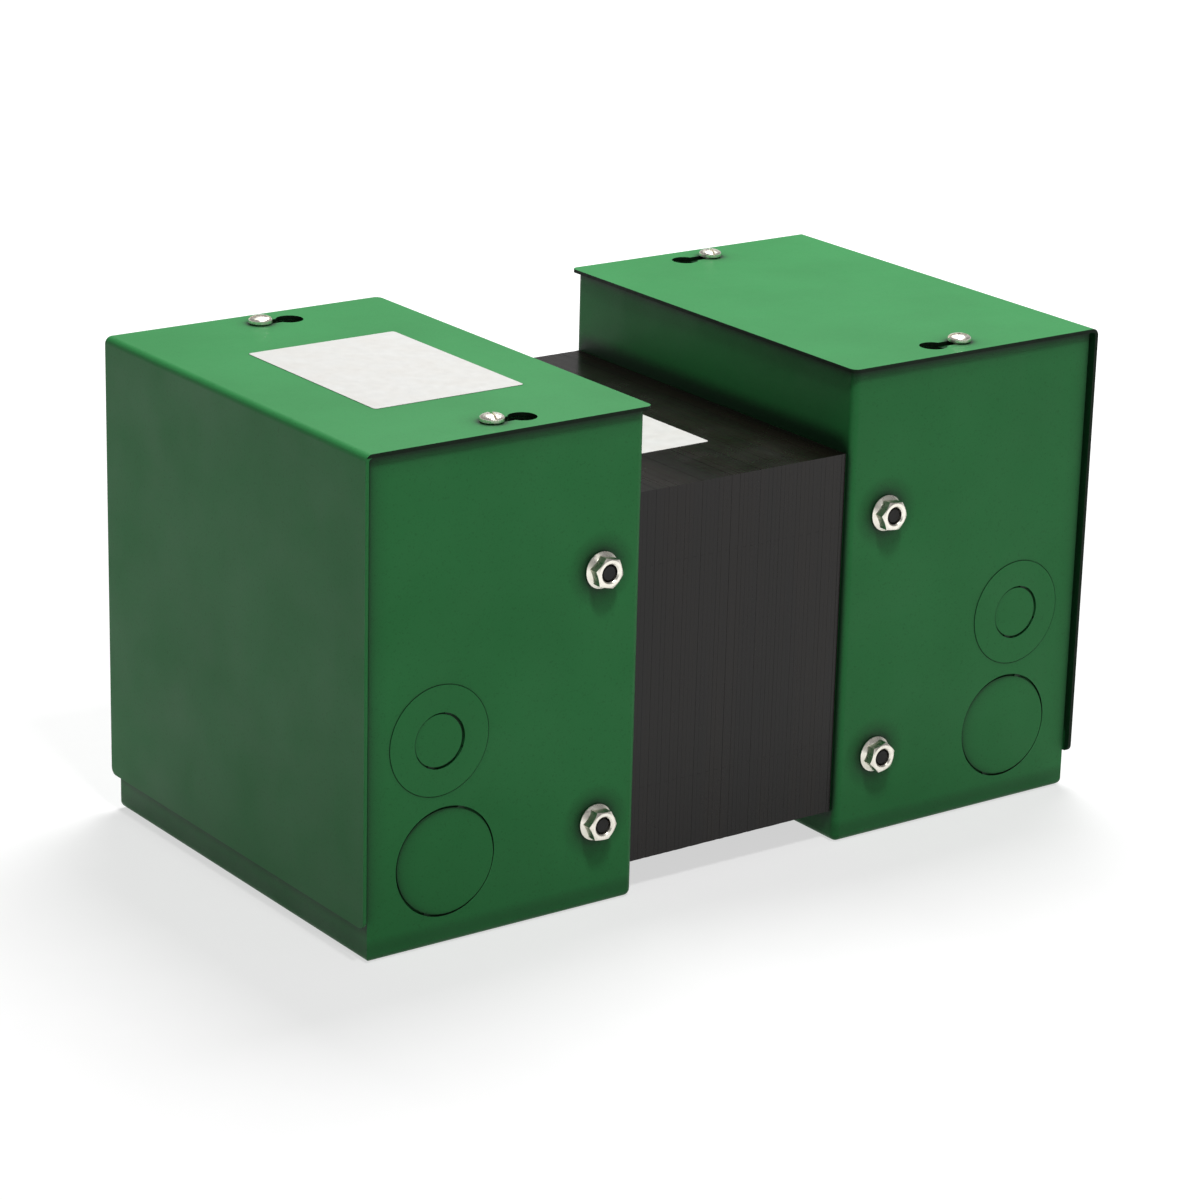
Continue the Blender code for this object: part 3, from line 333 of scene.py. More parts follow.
class Finish:
    """A material's nodes, added one after another."""

    def __init__(self, name, world=None):
        self.material = world or bpy.data.materials.new(name)
        self.material.use_nodes = True
        self.tree = self.material.node_tree
        self.shader = self.tree.nodes["Background" if world else "Principled BSDF"]
        self.column = -1800

    def add(self, kind, **inputs):
        """A node whose named inputs are set to values or joined to sockets."""
        made = self.tree.nodes.new(kind)
        made.location = (self.column, 300)
        self.column += 60
        for name, value in inputs.items():
            self.feed(made.inputs[name.replace("_", " ")], value)
        return made

    def feed(self, socket, value):
        """Join a socket, or set its value."""
        if isinstance(value, bpy.types.NodeSocket):
            self.tree.links.new(value, socket)
        else:
            socket.default_value = value

    def math(self, operation, first, second):
        """The result of an operation on two values, kept between 0 and 1."""
        made = self.add("ShaderNodeMath")
        made.operation = operation
        made.use_clamp = True
        self.feed(made.inputs[0], first)
        self.feed(made.inputs[1], second)
        return made.outputs[0]

    def place(self, stretch=(1.0, 1.0, 1.0)):
        """Object coordinates, stretched."""
        where = self.add("ShaderNodeTexCoord")
        return self.add("ShaderNodeMapping", Vector=where.outputs["Object"],
                        Scale=stretch).outputs["Vector"]

    def height(self):
        """Height over the base."""
        return self.add("ShaderNodeSeparateXYZ", Vector=self.place()).outputs["Z"]

    def noise(self, size, stretch=(1.0, 1.0, 1.0), detail=2.0, rough=0.5):
        """Noise whose clumps are about one size across, in metres."""
        return self.add("ShaderNodeTexNoise", Vector=self.place(stretch), Scale=1.0 / size,
                        Detail=detail, Roughness=rough).outputs["Fac"]

    def spread(self, value, low, high, start=0.35, stop=0.65):
        """A value from one range brought to another."""
        return self.add("ShaderNodeMapRange", Value=value, From_Min=start, From_Max=stop,
                        To_Min=low, To_Max=high).outputs["Result"]

    def mix(self, amount, first, second):
        """One colour turning into another."""
        made = self.add("ShaderNodeMix")
        made.data_type = "RGBA"
        for socket, value in zip((made.inputs["Factor"], made.inputs[6], made.inputs[7]),
                                 (amount, first, second)):
            if isinstance(value, tuple):
                value = (*value, 1.0)
            self.feed(socket, value)
        return made.outputs[2]

    def edges(self, width, start=0.02, stop=0.30):
        """How near a point is to a real edge, up to a width from it."""
        rounded = self.add("ShaderNodeBevel", Radius=width)
        rounded.samples = 6
        real = self.add("ShaderNodeNewGeometry")
        same = self.add("ShaderNodeVectorMath")
        same.operation = "DOT_PRODUCT"
        self.feed(same.inputs[0], rounded.outputs["Normal"])
        self.feed(same.inputs[1], real.outputs["Normal"])
        return self.spread(same.outputs["Value"], 1.0, 0.0, 1.0 - stop, 1.0 - start)

    def crevices(self, width, start=0.80, stop=0.99):
        """How near a point is to a corner or an overhang; nothing where it is wholly covered."""
        hidden = self.add("ShaderNodeAmbientOcclusion", Distance=width)
        hidden.samples = 8
        near = self.spread(hidden.outputs["AO"], 1.0, 0.0, start, stop)
        reached = self.spread(hidden.outputs["AO"], 0.0, 1.0, 0.2, 0.4)
        return self.math("MULTIPLY", near, reached)

    def bump(self, height, distance, strength=1.0, under=None):
        """Relief of a given height, on top of other relief."""
        made = self.add("ShaderNodeBump", Height=height, Distance=distance, Strength=strength)
        if under is not None:
            self.feed(made.inputs["Normal"], under)
        return made.outputs["Normal"]

    def dress(self, colour, roughness, normal, **constants):
        """Give the shader its colour, roughness and relief, and its constant values."""
        self.feed(self.shader.inputs["Base Color"], colour)
        self.feed(self.shader.inputs["Roughness"], roughness)
        self.feed(self.shader.inputs["Normal"], normal)
        for name, value in constants.items():
            self.shader.inputs[name.replace("_", " ")].default_value = value
        return self.material


def green_paint(paint):
    """Powder coat: fine orange peel, slow changes of depth, a little paler on the folds from thin
    paint and a painted highlight, and painted shade in corners and under overhangs.
    """
    finish = Finish("green_paint")
    depth = finish.noise(0.05, detail=3.0)
    colour = finish.mix(finish.spread(depth, 0.0, 1.0), tuple(paint.green_deep),
                        tuple(paint.green))
    specks = finish.noise(0.0009, detail=1.0)
    colour = finish.mix(finish.spread(specks, 0.0, 0.20, 0.60, 0.75), colour,
                        tuple(paint.sheared))
    # Thin paint and a painted highlight: edges and folds are paler in patches.
    patches = finish.noise(0.006)
    thin = finish.math("MULTIPLY", finish.edges(0.0007), finish.spread(patches, 0.2, 0.7, 0.4, 0.6))
    colour = finish.mix(thin, colour, tuple(paint.thin_paint_and_highlight))
    # Painted shade: darker where ambient occlusion finds corners, recesses and overhangs, less so
    # near the floor.
    painted_shade_amount = finish.math("MULTIPLY", finish.crevices(paint.painted_shade_reach), paint.painted_shade_share)
    above_floor = finish.spread(finish.height(), paint.painted_shade_low, 1.0, paint.faint_shade_below,
                                paint.full_shade_above)
    painted_shade_amount = finish.math("MULTIPLY", painted_shade_amount, above_floor)
    colour = finish.mix(painted_shade_amount, colour, tuple(paint.painted_shade))
    handling = finish.noise(0.03, detail=4.0, rough=0.6)
    roughness = finish.spread(handling, 0.44, 0.54, 0.3, 0.7)
    peel = finish.bump(finish.noise(paint.peel, detail=1.0), 0.00002, 0.5)
    grit = finish.bump(finish.noise(paint.peel / 4, detail=0.0), 0.000004, 0.4, peel)
    return finish.dress(colour, roughness, grit, Specular_IOR_Level=0.22)


def shaded_cut_edge_paint(paint):
    """The same coat on a cut edge, rough, streaked and painted near black as shade."""
    finish = Finish("sheared_edge")
    tears = finish.noise(0.0006, stretch=(1.0, 1.0, 0.3))
    dark = tuple(paint.sheared)
    colour = finish.mix(finish.spread(tears, 0.0, 0.6), dark, tuple(2.5 * c for c in dark))
    roughness = finish.spread(tears, 0.5, 0.7)
    return finish.dress(colour, roughness, finish.bump(tears, 0.00004, 0.6),
                        Specular_IOR_Level=0.15)


def varnished_steel(paint):
    """Lamination edges under glossy dipping varnish: faint lines across X, runs down the face."""
    finish = Finish("varnished_steel")
    sheets = finish.noise(0.0005, stretch=(1.0, 0.02, 0.02), detail=1.0)
    packets = finish.noise(0.008, stretch=(1.0, 0.05, 0.05))
    colour = finish.mix(finish.spread(packets, 0.0, 0.8), tuple(paint.varnish),
                        tuple(paint.varnish_dark))
    colour = finish.mix(finish.spread(sheets, 0.0, 0.4, 0.45, 0.7), colour,
                        tuple(paint.varnish_dark))
    runs = finish.noise(0.030, stretch=(1.0, 1.0, 0.35), detail=4.0, rough=0.6)
    roughness = finish.spread(runs, 0.20, 0.32, 0.3, 0.7)
    relief = finish.bump(sheets, 0.00003, 0.6)
    relief = finish.bump(runs, 0.0004, 0.25, relief)
    return finish.dress(colour, roughness, relief, Specular_IOR_Level=0.32)


def dipped_steel(paint):
    """End frames: varnished black over mill scale."""
    finish = Finish("dipped_steel")
    scale = finish.noise(0.012, detail=4.0, rough=0.65)
    black = tuple(paint.dipped)
    colour = finish.mix(finish.spread(scale, 0.0, 1.0), black, tuple(2 * c for c in black))
    rubbed = finish.math("MULTIPLY", finish.edges(0.0004), 0.25)
    colour = finish.mix(rubbed, colour, DIPPED_EDGE)
    roughness = finish.spread(scale, 0.42, 0.62)
    relief = finish.bump(finish.noise(0.0012), 0.00003, 0.5)
    return finish.dress(colour, roughness, relief, Specular_IOR_Level=0.3)


def plated(name, colour, cloudy, dull_edge, low=0.24, high=0.40):
    """Bright plating with a cloudy, faintly tinted surface and rubbed edges."""
    finish = Finish(name)
    cloud = finish.noise(0.0035, detail=3.0)
    tinted = finish.mix(finish.spread(cloud, 0.0, 1.0), colour, cloudy)
    rubbed = finish.math("MULTIPLY", finish.edges(0.0003), 0.6)
    tinted = finish.mix(rubbed, tinted, dull_edge)
    roughness = finish.spread(finish.noise(0.0018, detail=3.0), low, high)
    scratches = finish.noise(0.0004, stretch=(1.0, 0.2, 1.0))
    return finish.dress(tinted, roughness, finish.bump(scratches, 0.000006, 0.5), Metallic=1.0)


def wound_copper(paint):
    """Enamelled wire: deep lacquer with scuffs along the turns."""
    finish = Finish("copper")
    scuffs = finish.noise(0.0025, stretch=(0.05, 0.05, 1.0))
    colour = finish.mix(finish.spread(scuffs, 0.0, 1.0), tuple(paint.copper), COPPER_SCUFF)
    roughness = finish.spread(finish.noise(0.005), 0.28, 0.42)
    return finish.dress(colour, roughness, finish.bump(scuffs, 0.00003, 0.5), Metallic=1.0)


def fibrous(name, colour, darker, size, rough, relief):
    """Paper, tape or sleeving: fibres, stains and a dull surface."""
    finish = Finish(name)
    stain = finish.noise(size * 25, detail=3.0)
    fibres = finish.noise(size, stretch=(1.0, 1.0, 0.35))
    tinted = finish.mix(finish.spread(stain, 0.0, 1.0), colour, darker)
    tinted = finish.mix(finish.spread(fibres, 0.0, 0.35, 0.45, 0.7), tinted, darker)
    roughness = finish.spread(stain, rough - 0.08, rough + 0.08)
    return finish.dress(tinted, roughness, finish.bump(fibres, relief, 0.6))


def moulded(name, colour, paler, rough):
    """Moulded plastic: fine spark texture, flow marks and paler rubbed edges."""
    finish = Finish(name)
    flow = finish.noise(0.02, detail=3.0)
    tinted = finish.mix(finish.spread(flow, 0.0, 0.5), colour, paler)
    tinted = finish.mix(finish.math("MULTIPLY", finish.edges(0.0005), 0.5), tinted, paler)
    grain = finish.noise(0.0005, detail=1.0)
    roughness = finish.spread(grain, rough - 0.06, rough + 0.08)
    return finish.dress(tinted, roughness, finish.bump(grain, 0.000012, 0.5))


def sticker(paint):
    """Bare label stock: faint mottling and a satin face."""
    finish = Finish("label_stock")
    mottle = finish.noise(0.012, detail=4.0)
    stock = tuple(paint.label)
    warm = tuple(channel * factor for channel, factor in zip(stock, LABEL_WARMTH))
    colour = finish.mix(finish.spread(mottle, 0.0, 1.0), stock, warm)
    roughness = finish.spread(finish.noise(0.004), 0.36, 0.46)
    fibres = finish.noise(0.0006)
    return finish.dress(colour, roughness, finish.bump(fibres, 0.000008, 0.5))


def make_finishes(paint):
    """Every material, by its slot in the record, and two that the record has no slot for."""
    return {
        "green_paint": green_paint(paint),
        "sheared_edge": shaded_cut_edge_paint(paint),
        "varnished_steel": varnished_steel(paint),
        "dipped_steel": dipped_steel(paint),
        "zinc": plated("zinc", tuple(paint.zinc), ZINC_CLOUD, ZINC_EDGE),
        "nickel_brass": plated("nickel_brass", tuple(paint.brass), BRASS_CLOUD, BRASS_EDGE),
        "copper": wound_copper(paint),
        "paper": fibrous("paper", tuple(paint.paper), PAPER_STAIN, size=0.0006, rough=0.8,
                         relief=0.00003),
        "tape": fibrous("tape", tuple(paint.tape), TAPE_STAIN, size=0.0008, rough=0.45,
                        relief=0.00002),
        "sleeving": fibrous("sleeving", tuple(paint.sleeving), SLEEVING_STAIN, size=0.0004,
                            rough=0.6, relief=0.00006),
        "phenolic": moulded("phenolic", tuple(paint.phenolic), PHENOLIC_PALE, rough=0.42),
        "nylon": moulded("nylon", tuple(paint.nylon), NYLON_PALE, rough=0.45),
        "ground_green": plated("ground_green", tuple(paint.ground), GROUND_CLOUD, GROUND_EDGE,
                               low=0.30, high=0.45),
        "label_stock": sticker(paint),
    }


# ---------------------------------------------------------------- shapes

def face_side(face):
    """Which side of its block a face is on, such as +x or -z."""
    face.normal_update()
    axis = max(range(3), key=lambda i: abs(face.normal[i]))
    return ("+" if face.normal[axis] > 0 else "-") + "xyz"[axis]


def add_block(bm, low, high, bends=(), radius=0.0, steps=8):
    """A block between two corners, rounded where the named pairs of faces meet."""
    low, high = Vector(low), Vector(high)
    stretched = Matrix.Translation((low + high) / 2) @ Matrix.Diagonal((*(high - low), 1.0))
    made = bmesh.ops.create_cube(bm, size=1.0, matrix=stretched)["verts"]
    if not bends:
        return
    wanted = [frozenset(pair) for pair in bends]
    edges = {edge for vert in made for edge in vert.link_edges}
    rounded = [edge for edge in edges if frozenset(map(face_side, edge.link_faces)) in wanted]
    bmesh.ops.bevel(bm, geom=rounded, offset=radius, segments=steps, profile=0.5,
                    affect="EDGES", clamp_overlap=True)


def block(low, high, bends=(), radius=0.0, steps=8):
    """A bmesh that holds one block."""
    bm = bmesh.new()
    add_block(bm, low, high, bends, radius, steps)
    return bm


def aimed(place, axis, spin=0.0):
    """The placing of a piece whose own +Z points along an axis."""
    turned_to = Vector(UP).rotation_difference(Vector(axis)).to_matrix().to_4x4()
    return Matrix.Translation(place) @ turned_to @ Matrix.Rotation(spin, 4, "Z")


def add_rod(bm, start, end, radius, sides):
    """A cylinder from one point to another."""
    start, end = Vector(start), Vector(end)
    bmesh.ops.create_cone(bm, cap_ends=True, segments=sides, radius1=radius, radius2=radius,
                          depth=(end - start).length, matrix=aimed((start + end) / 2, end - start))


def arc(centre, radius, start, stop, steps):
    """Points along an arc in a plane, both ends included. Angles in degrees."""
    angles = [math.radians(start + (stop - start) * i / steps) for i in range(steps + 1)]
    return [(centre[0] + radius * math.cos(a), centre[1] + radius * math.sin(a)) for a in angles]


def rounded_outline(half_x, half_y, corner, steps=6):
    """A rectangle about the origin with round corners."""
    outline = []
    for (x, y), start in zip(((1, -1), (1, 1), (-1, 1), (-1, -1)), (-90, 0, 90, 180)):
        centre = (x * (half_x - corner), y * (half_y - corner))
        outline += arc(centre, corner, start, start + 90, steps)
    return outline


def thicken(bm, faces, way):
    """Draw flat faces out into a body."""
    raised = bmesh.ops.extrude_face_region(bm, geom=faces)["geom"]
    lifted = [item for item in raised if isinstance(item, bmesh.types.BMVert)]
    bmesh.ops.translate(bm, verts=lifted, vec=way)


def add_plate(bm, outline, bottom, top):
    """A plate from a closed outline in XY."""
    face = bm.faces.new([bm.verts.new((x, y, bottom)) for x, y in outline])
    thicken(bm, [face], (0, 0, top - bottom))
    bmesh.ops.recalc_face_normals(bm, faces=bm.faces)


def add_loops(bm, loops, closed):
    """Faces between one loop of points and the next, and caps or a last band to close them."""
    rows = [[bm.verts.new(point) for point in loop] for loop in loops]
    pairs = list(zip(rows, rows[1:]))
    if closed:
        pairs.append((rows[-1], rows[0]))
    for row, following in pairs:
        for i in range(len(row)):
            j = (i + 1) % len(row)
            bm.faces.new((row[i], row[j], following[j], following[i]))
    if not closed:
        bm.faces.new(rows[0])
        bm.faces.new(rows[-1])
    bmesh.ops.recalc_face_normals(bm, faces=bm.faces)


def turned(profile, sides):
    """A bmesh turned about Z from a profile of (radius, height) points, top to bottom."""
    bm = bmesh.new()
    rings = []
    for radius, z in profile:
        if radius == 0:
            rings.append([bm.verts.new((0, 0, z))] * sides)
            continue
        rings.append([bm.verts.new((radius * math.cos(a), radius * math.sin(a), z))
                      for a in (math.tau * i / sides for i in range(sides))])
    for upper, lower in zip(rings, rings[1:]):
        for i in range(sides):
            j = (i + 1) % sides
            corners = [upper[i], lower[i], lower[j], upper[j]]
            bm.faces.new(list(dict.fromkeys(corners)))
    return bm


def moved(bm, matrix):
    """A bmesh brought to its place."""
    bmesh.ops.transform(bm, matrix=matrix, verts=bm.verts)
    return bm


def thread(radius, depth, pitch, start, stop):
    """The points of a threaded rod's side from one height down to another."""
    turns = max(1, round((start - stop) / pitch))
    step = (start - stop) / turns
    points = [(radius - depth, start)]
    for number in range(turns):
        z = start - number * step
        points += [(radius, z - step * 0.35), (radius, z - step * 0.65), (radius - depth, z - step)]
    return points


def placed(name, data):
    """A new object in the scene."""
    made = bpy.data.objects.new(name, data)
    bpy.context.scene.collection.objects.link(made)
    return made


def new_object(name, bm, finish=None, smooth=35):
    """An object from a bmesh, in the scene."""
    mesh = bpy.data.meshes.new(name)
    bm.to_mesh(mesh)
    bm.free()
    mesh.shade_smooth()
    mesh.set_sharp_from_angle(angle=math.radians(smooth))
    if finish is not None:
        mesh.materials.append(finishes[finish])
    return placed(name, mesh)


def applied(body, modifier):
    """Keep what a modifier makes of a piece as the piece's mesh."""
    bpy.context.view_layer.update()
    shaped = body.evaluated_get(bpy.context.evaluated_depsgraph_get())
    old, body.data = body.data, bpy.data.meshes.new_from_object(shaped)
    body.modifiers.remove(modifier)
    bpy.data.meshes.remove(old)
    return body


def carve(body, bm, operation="DIFFERENCE"):
    """Cut a tool from a piece, or join it on."""
    tool = new_object("tool", bm)
    modifier = body.modifiers.new("carve", "BOOLEAN")
    modifier.operation = operation
    modifier.object = tool
    applied(body, modifier)
    bpy.data.objects.remove(tool, do_unlink=True)
    return body


def soften(body, width, steps=2):
    """Round off a piece's sharp edges."""
    modifier = body.modifiers.new("soften", "BEVEL")
    modifier.width = width
    modifier.segments = steps
    modifier.limit_method = "ANGLE"
    modifier.angle_limit = math.radians(40)
    return applied(body, modifier)


def close(body, smooth, *finish_names):
    """Shade a carved piece, with its real edges kept, and give it its finishes."""
    body.data.shade_smooth()
    body.data.set_sharp_from_angle(angle=math.radians(smooth))
    even = body.modifiers.new("even", "WEIGHTED_NORMAL")
    even.keep_sharp = True
    applied(body, even)
    body.data.name = body.name
    indices = [face.material_index for face in body.data.polygons]
    body.data.materials.clear()
    for name in finish_names:
        body.data.materials.append(finishes[name])
    body.data.polygons.foreach_set("material_index", indices)
    return body


def mirrored(body, name):
    """The left-hand copy of a right-hand piece."""
    copy = body.data.copy()
    copy.transform(Matrix.Scale(-1, 4, (1, 0, 0)))
    copy.flip_normals()
    copy.name = name
    return placed(name, copy)


def stand_for(piece, node, body):
    """Let a fine piece take a node's place."""
    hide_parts(node)
    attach(piece, body)
    return piece


def place_copies(master, places, bodies=None):
    """Copies of a fastener, one for each node: its place, its axis and its spin."""
    bodies = bodies or {}
    for node, (place, axis, spin) in places.items():
        piece = placed(f"{node}_fine", master.data)
        piece.matrix_world = aimed(place, axis, spin)
        stand_for(piece, node, bodies.get(node, FIXED))
    bpy.data.objects.remove(master)


def middle(node, **coordinates):
    """The middle of a node's box, with any coordinates that are given set to their values."""
    low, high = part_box(node)
    place = (low + high) / 2
    for axis, value in coordinates.items():
        setattr(place, axis, value)
    return place


# ---------------------------------------------------------------- sheet metal

def wall_face():
    """How far the outside of a tray's front and back walls is from the middle."""
    return -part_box("right_nut_front_lower")[1].y - GAP


def tray_box():
    """The right-hand tray's corners, without the knock-outs that stand out of its walls."""
    low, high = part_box("right_tray")
    high.y = wall_face()
    low.y = -high.y
    return low, high


def shade_cut_edges(body, low, high, skin, sides, sign):
    """Give the second finish, painted shade, to the faces that lie across the sheet's thickness."""
    mesh = body.data
    mesh.calc_loop_triangles()
    widest = {}
    for triangle in mesh.loop_triangles:
        largest = widest.get(triangle.polygon_index)
        if largest is None or triangle.area > largest.area:
            widest[triangle.polygon_index] = triangle
    for number, triangle in widest.items():
        centre = sum((mesh.vertices[i].co for i in triangle.vertices), Vector()) / 3
        centre.x *= sign
        for side in sides:
            axis = "xyz".index(side[1])
            depth = high[axis] - centre[axis] if side[0] == "+" else centre[axis] - low[axis]
            if 0.02 * skin < depth < 0.98 * skin and abs(triangle.normal[axis]) < 0.05:
                mesh.polygons[number].material_index = 1


def tray_shell(sheet):
    """The folded tray without its holes."""
    low, high = tray_box()
    folds = [("-z", "-x"), ("-z", "+x"), ("-z", "-y"), ("-z", "+y"), ("-x", "-y"), ("-x", "+y")]
    tray = new_object("right_tray_metal", block(low, high, folds, sheet.bend, sheet.bend_steps))
    skin = Vector((sheet.thickness,) * 3)
    carve(tray, block(low + skin, high - skin, folds, sheet.bend - sheet.thickness,
                      sheet.bend_steps))
    carve(tray, block((high.x - 3 * skin.x, low.y + skin.y, sheet.lip),
                      (high.x + skin.x, high.y - skin.y, high.z - skin.z)))
    mouth = high.y - sheet.side_flange
    return carve(tray, block((low.x + sheet.inner_flange, -mouth, high.z - 2 * skin.z),
                             (high.x + skin.x, mouth, high.z + skin.z),
                             [("-x", "-y"), ("-x", "+y")], sheet.bend, sheet.bend_steps))


def open_wall(bm, low_x, high_x, sheet, fasteners):
    """What opens a wall across X for the coil and the long bolts."""
    coil_low, coil_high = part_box("bobbin")
    y = coil_high.y + sheet.coil_clearance
    add_block(bm, (low_x, -y, coil_low.z - sheet.coil_clearance),
              (high_x, y, coil_high.z + sheet.coil_clearance))
    for number in BOLTS:
        bolt = middle(f"core_bolt_{number}")
        add_rod(bm, (low_x, bolt.y, bolt.z), (high_x, bolt.y, bolt.z),
                fasteners.bolt + sheet.clearance, sheet.round_sides)


def tray_holes(sheet, fasteners):
    """Openings for the coil, bolts, studs, cover screws and hold-down bolts."""
    low, high = tray_box()
    bm = bmesh.new()
    reach = 3 * sheet.thickness
    sides = sheet.round_sides
    open_wall(bm, low.x - reach, low.x + reach, sheet, fasteners)
    screw = middle("right_cover_screw_back")
    for wall in WALLS.values():
        for row in ROWS:
            nut = middle(f"right_nut_front_{row}")
            add_rod(bm, (nut.x, wall * (high.y - reach), nut.z),
                    (nut.x, wall * (high.y + reach), nut.z), fasteners.stud + sheet.clearance,
                    sides)
        y = wall * screw.y
        for x, radius in ((screw.x, fasteners.cover_screw + sheet.clearance),
                          (screw.x - sheet.keyhole_travel, sheet.keyhole)):
            add_rod(bm, (x, y, high.z - reach), (x, y, high.z + reach), radius, sides)
        radius = sheet.slot_width / 2
        half = sheet.slot_length / 2 - radius
        x, y = low.x + sheet.slot_inset, wall * sheet.slot_spacing / 2
        outline = arc((x + half, y), radius, -90, 90, 16) + arc((x - half, y), radius, 90, 270, 16)
        add_plate(bm, outline, -reach, reach)
    return bm


Knockout = namedtuple("Knockout", "radius x z shift tilt play drift turn")


def punches(side, knock):
    """One tray's front knock-outs, large ones first: place, shift, tilt and fit of each."""
    places = {mount["name"]: mount["pos_m"] for mount in frame["record"]["mounts"]}
    x, y, z = places[f"{side}_front_large_knockout"]
    large = Knockout(knock.large, x, z, knock.recessed * (-y - wall_face()), knock.tilt,
                     knock.play, knock.drift, knock.large_turn)
    x, y, z = places[f"{side}_front_small_knockout"]
    ring = Knockout(knock.large, x, z, knock.ring_shift, 0.0, knock.ring_play, knock.ring_drift,
                    knock.small_turn)
    small = Knockout(knock.small, x, z, knock.raised * (-y - wall_face()), knock.tilt,
                     knock.play, knock.drift, knock.small_turn)
    return sorted((large, ring, small), reverse=True)


def punch(tray, knock, sheet, one):
    """A half-sheared knock-out on each wall: its hole, its disc and the ties that hold it."""
    half, skin, flats_round = wall_face(), sheet.thickness, sheet.round_sides
    disc = one.radius - one.play
    burr = one.radius + one.drift + knock.burr
    profile = [(0, skin), (disc - knock.rim, skin), (disc - knock.rim * 0.3, skin * 0.94),
               (disc, skin - knock.rim), (disc, skin * 0.3), (burr, skin * 0.1), (burr, 0),
               (0, 0)]
    hinge = Vector((math.cos(knock.tie_turn), 0, math.sin(knock.tie_turn)))
    for wall in WALLS.values():
        hole = bmesh.new()
        add_rod(hole, (one.x, wall * (half - 3 * skin), one.z),
                (one.x, wall * (half + 2 * skin), one.z), one.radius, flats_round)
        carve(tray, hole)
        place = (one.x + one.drift * math.cos(one.turn), wall * (half + one.shift - skin),
                 one.z + one.drift * math.sin(one.turn))
        lean = (Matrix.Translation(place) @ Matrix.Rotation(wall * one.tilt, 4, hinge)
                @ Matrix.Translation(-Vector(place)))
        carve(tray, moved(turned(profile, flats_round), lean @ aimed(place, (0, wall, 0))), "UNION")
        shared = sorted((wall * (half + min(0.0, one.shift) - 0.1 * skin),
                         wall * (half - skin + max(0.0, one.shift) + 0.1 * skin)))
        for angle in (knock.tie_turn, knock.tie_turn + math.pi):
            tie = block((one.radius - 3 * one.play, shared[0], -knock.tie / 2),
                        (one.radius + one.play, shared[1], knock.tie / 2))
            spot = Matrix.Translation((one.x, 0, one.z)) @ Matrix.Rotation(-angle, 4, "Y")
            carve(tray, moved(tie, spot), "UNION")


class TRANSFORMER_OT_trays(bpy.types.Operator):
    """Fold, punch and paint the two trays"""

    bl_idname = "transformer.trays"
    bl_label = "Trays"

    def execute(self, context):
        scene = context.scene
        sheet = scene.transformer_sheet
        skin = sheet.thickness
        blank = carve(tray_shell(sheet), tray_holes(sheet, scene.transformer_fasteners))
        low, high = tray_box()
        for side, tray in (("left", mirrored(blank, "left_tray_metal")), ("right", blank)):
            for knockout in punches(side, scene.transformer_knockouts):
                punch(tray, scene.transformer_knockouts, sheet, knockout)
            close(tray, SHEET_CREASE, "green_paint", "sheared_edge")
            # Painted shade: every cut edge of the tray is painted near black.
            shade_cut_edges(tray, low, high, skin, EVERY_SIDE, SIDES[side])
            stand_for(tray, f"{side}_tray", FIXED)
        return {"FINISHED"}


class TRANSFORMER_OT_covers(bpy.types.Operator):
    """Fold, punch and paint the two covers"""

    bl_idname = "transformer.covers"
    bl_label = "Covers"

    def execute(self, context):
        sheet = context.scene.transformer_sheet
        low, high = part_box("right_cover")
        skin = sheet.thickness
        fold = [("+x", "+z")]
        corners = [("-z", "-y"), ("-z", "+y"), ("-x", "-y"), ("-x", "+y")]
        cover = new_object("right_cover_metal", block(low, high, fold + corners, sheet.bend,
                                                      sheet.bend_steps))
        carve(cover, block((low.x - high.x, 2 * low.y, -high.z),
                           (high.x - skin, 2 * high.y, high.z - skin), fold, sheet.bend - skin,
                           sheet.bend_steps))
        screw = middle("right_cover_screw_back")
        narrow = context.scene.transformer_fasteners.cover_screw + sheet.clearance
        mouth = math.degrees(math.asin(narrow / sheet.keyhole))
        for wall in WALLS.values():
            y = wall * screw.y
            outline = arc((screw.x, y), narrow, -90, 90, 24)
            outline += arc((screw.x - sheet.keyhole_travel, y), sheet.keyhole, mouth,
                           360 - mouth, 60)
            bm = bmesh.new()
            add_plate(bm, outline, high.z - 2 * skin, high.z + skin)
            carve(cover, bm)
        self.split_level(cover, high.z - skin)
        for side, piece in (("left", mirrored(cover, "left_cover_metal")), ("right", cover)):
            close(piece, SHEET_CREASE, "green_paint", "sheared_edge")
            # Painted shade: the top plate's cut edges are painted near black on both covers, the
            # end plate's on the right cover only.
            bare = ("+z", "+x") if side == "right" else ("+z",)
            shade_cut_edges(piece, low, high, skin, bare, SIDES[side])
            stand_for(piece, f"{side}_cover", f"{side}_cover")
        return {"FINISHED"}

    def split_level(self, body, height):
        """Divide the faces of the cover at one height, so the top plate's edges are apart."""
        bm = bmesh.new()
        bm.from_mesh(body.data)
        bmesh.ops.bisect_plane(bm, geom=bm.verts[:] + bm.edges[:] + bm.faces[:], dist=1e-6,
                               plane_co=(0, 0, height), plane_no=(0, 0, 1))
        bm.to_mesh(body.data)
        bm.free()


